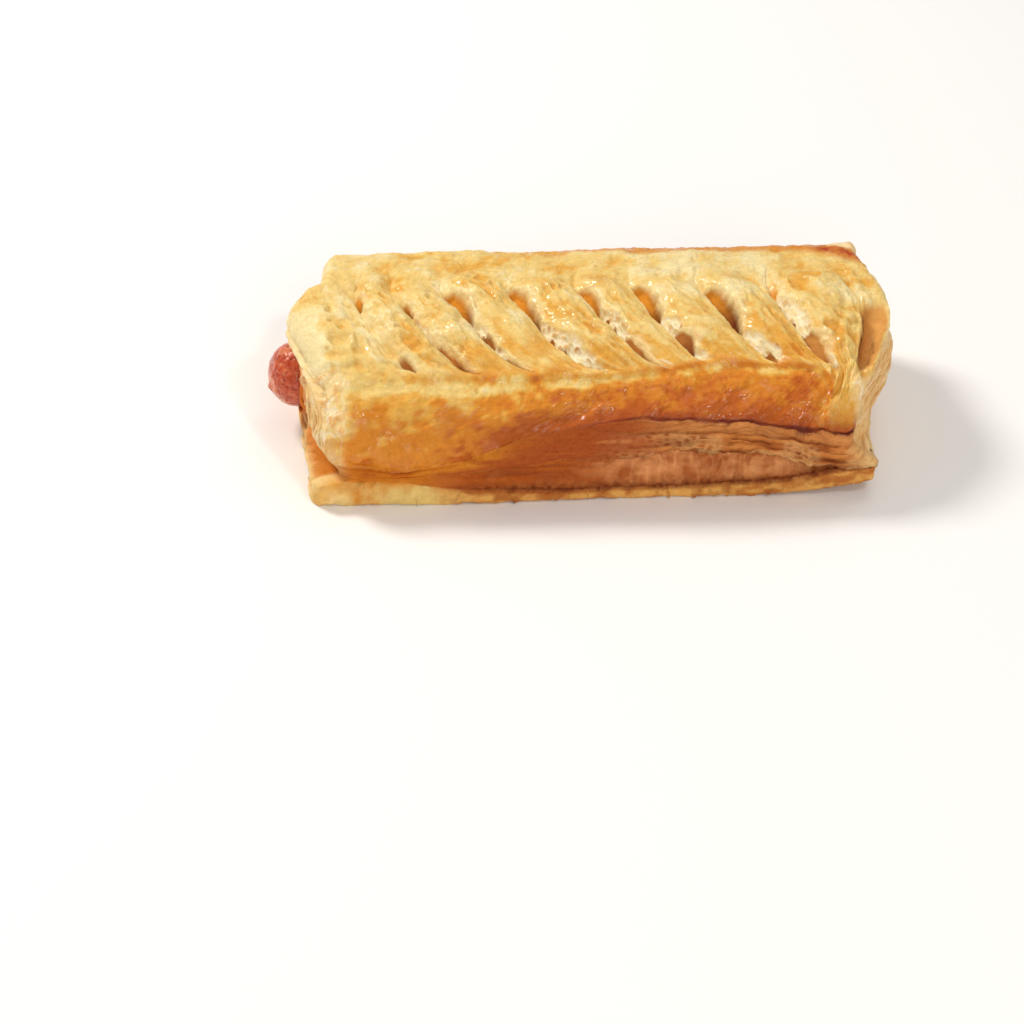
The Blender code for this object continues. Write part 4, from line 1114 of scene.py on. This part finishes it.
def sausage_material():
    m = bpy.data.materials.new("cooked_skin")
    m.use_nodes = True
    nt = m.node_tree
    nodes, links = nt.nodes, nt.links
    shader = nodes["Principled BSDF"]
    shader.inputs["Coat Weight"].default_value = 0.4
    shader.inputs["Specular IOR Level"].default_value = 0.3
    shader.inputs["Specular Tint"].default_value = (1.0, 0.75, 0.6, 1.0)
    shader.inputs["Coat Roughness"].default_value = 0.12
    shader.inputs["Subsurface Weight"].default_value = 0.10
    shader.inputs["Subsurface Radius"].default_value = (1.0, 0.35, 0.2)
    shader.inputs["Subsurface Scale"].default_value = 0.002
    tint = nodes.new("ShaderNodeAttribute"); tint.attribute_name = "tint"
    coord = nodes.new("ShaderNodeTexCoord")
    grain = nodes.new("ShaderNodeTexNoise")
    grain.inputs["Scale"].default_value = 900.0
    grain.inputs["Detail"].default_value = 5.0
    links.new(coord.outputs["Object"], grain.inputs["Vector"])
    ramp = nodes.new("ShaderNodeValToRGB")
    ramp.color_ramp.elements[0].position, ramp.color_ramp.elements[0].color = 0.32, (0.72, 0.62, 0.58, 1)
    ramp.color_ramp.elements[1].position, ramp.color_ramp.elements[1].color = 0.7, (1.12, 1.12, 1.12, 1)
    links.new(grain.outputs["Fac"], ramp.inputs["Fac"])
    mixer = nodes.new("ShaderNodeMix")
    mixer.data_type, mixer.blend_type = "RGBA", "MULTIPLY"
    mixer.inputs["Factor"].default_value = 0.8
    links.new(tint.outputs["Color"], mixer.inputs["A"])
    links.new(ramp.outputs["Color"], mixer.inputs["B"])
    links.new(mixer.outputs["Result"], shader.inputs["Base Color"])
    rough = nodes.new("ShaderNodeMath")
    rough.operation = "MULTIPLY_ADD"
    links.new(grain.outputs["Fac"], rough.inputs[0])
    rough.inputs[1].default_value = 0.3
    rough.inputs[2].default_value = 0.14
    links.new(rough.outputs[0], shader.inputs["Roughness"])
    bump = nodes.new("ShaderNodeBump")
    bump.inputs["Strength"].default_value = 0.5
    bump.inputs["Distance"].default_value = 0.0004
    links.new(grain.outputs["Fac"], bump.inputs["Height"])
    links.new(bump.outputs["Normal"], shader.inputs["Normal"])
    return m


case = case_piece()
case.data.materials.append(pastry_material())
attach(case, "root")
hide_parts("pastry")

sausage = sausage_piece()
sausage.data.materials.append(sausage_material())
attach(sausage, "root")
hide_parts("sausage")

# ---- stage ---------------------------------------------------------------------------
floor_mesh = bpy.data.meshes.new("floor")
floor_mesh.from_pydata([(-4, -4, 0), (4, -4, 0), (4, 4, 0), (-4, 4, 0)], [], [(0, 1, 2, 3)])
floor = bpy.data.objects.new("floor", floor_mesh)
bpy.context.scene.collection.objects.link(floor)
floor_material = bpy.data.materials.new("pale_floor")
floor_material.use_nodes = True
floor_material.node_tree.nodes["Principled BSDF"].inputs["Base Color"].default_value = (0.94, 0.935, 0.93, 1)
floor_material.node_tree.nodes["Principled BSDF"].inputs["Roughness"].default_value = 0.55
floor_mesh.materials.append(floor_material)

# ---- camera --------------------------------------------------------------------------
heading, tilt, roll = math.radians(8.02), math.radians(37.8), math.radians(3.46)
camera_data = bpy.data.cameras.new("camera")
camera_data.lens = 143.4
camera_data.sensor_width = 36.0
camera_data.clip_start, camera_data.clip_end = 0.05, 20.0
camera = bpy.data.objects.new("camera", camera_data)
bpy.context.scene.collection.objects.link(camera)
forward = Vector((math.sin(heading) * math.cos(tilt), math.cos(heading) * math.cos(tilt), -math.sin(tilt)))
right = Vector((math.cos(heading), -math.sin(heading), 0.0))
up = right.cross(forward)
side = math.cos(roll) * right + math.sin(roll) * up
over = -math.sin(roll) * right + math.cos(roll) * up
turn = Matrix((side, over, -forward)).transposed()
camera.matrix_world = Matrix.Translation(Vector((np.array([-165.4, -1019.1, 763.1]) + SHIFT) * MM)) @ turn.to_4x4()
bpy.context.scene.camera = camera


# ---- light ---------------------------------------------------------------------------
def lamp(name, place_at, aim, size, watts, colour):
    data = bpy.data.lights.new(name, "AREA")
    data.shape = "DISK"
    data.size = size
    data.energy = watts
    data.color = colour
    piece = bpy.data.objects.new(name, data)
    bpy.context.scene.collection.objects.link(piece)
    piece.location = place_at
    piece.rotation_euler = (Vector(aim) - Vector(place_at)).to_track_quat("-Z", "Y").to_euler()
    return piece


lamp("key", (-0.75, 0.55, 0.95), (0, 0, 0.02), 0.36, 12.0, (1.0, 0.96, 0.90))
lamp("fill", (0.2, -1.3, 0.7), (0, 0, 0.02), 1.0, 7.8, (1.0, 0.95, 0.88))
lamp("top", (0.4, 0.5, 1.3), (0, 0, 0.02), 0.8, 2.5, (1.0, 0.98, 0.95))
lamp("sparkle", (0.35, -0.55, 1.05), (0.02, 0, 0.03), 0.12, 1.8, (1.0, 0.97, 0.92))

world = bpy.data.worlds.new("studio")
world.use_nodes = True
world.node_tree.nodes["Background"].inputs["Color"].default_value = (1.0, 0.985, 0.965, 1)
world.node_tree.nodes["Background"].inputs["Strength"].default_value = 0.33
bpy.context.scene.world = world
bpy.context.scene.view_settings.view_transform = "Standard"
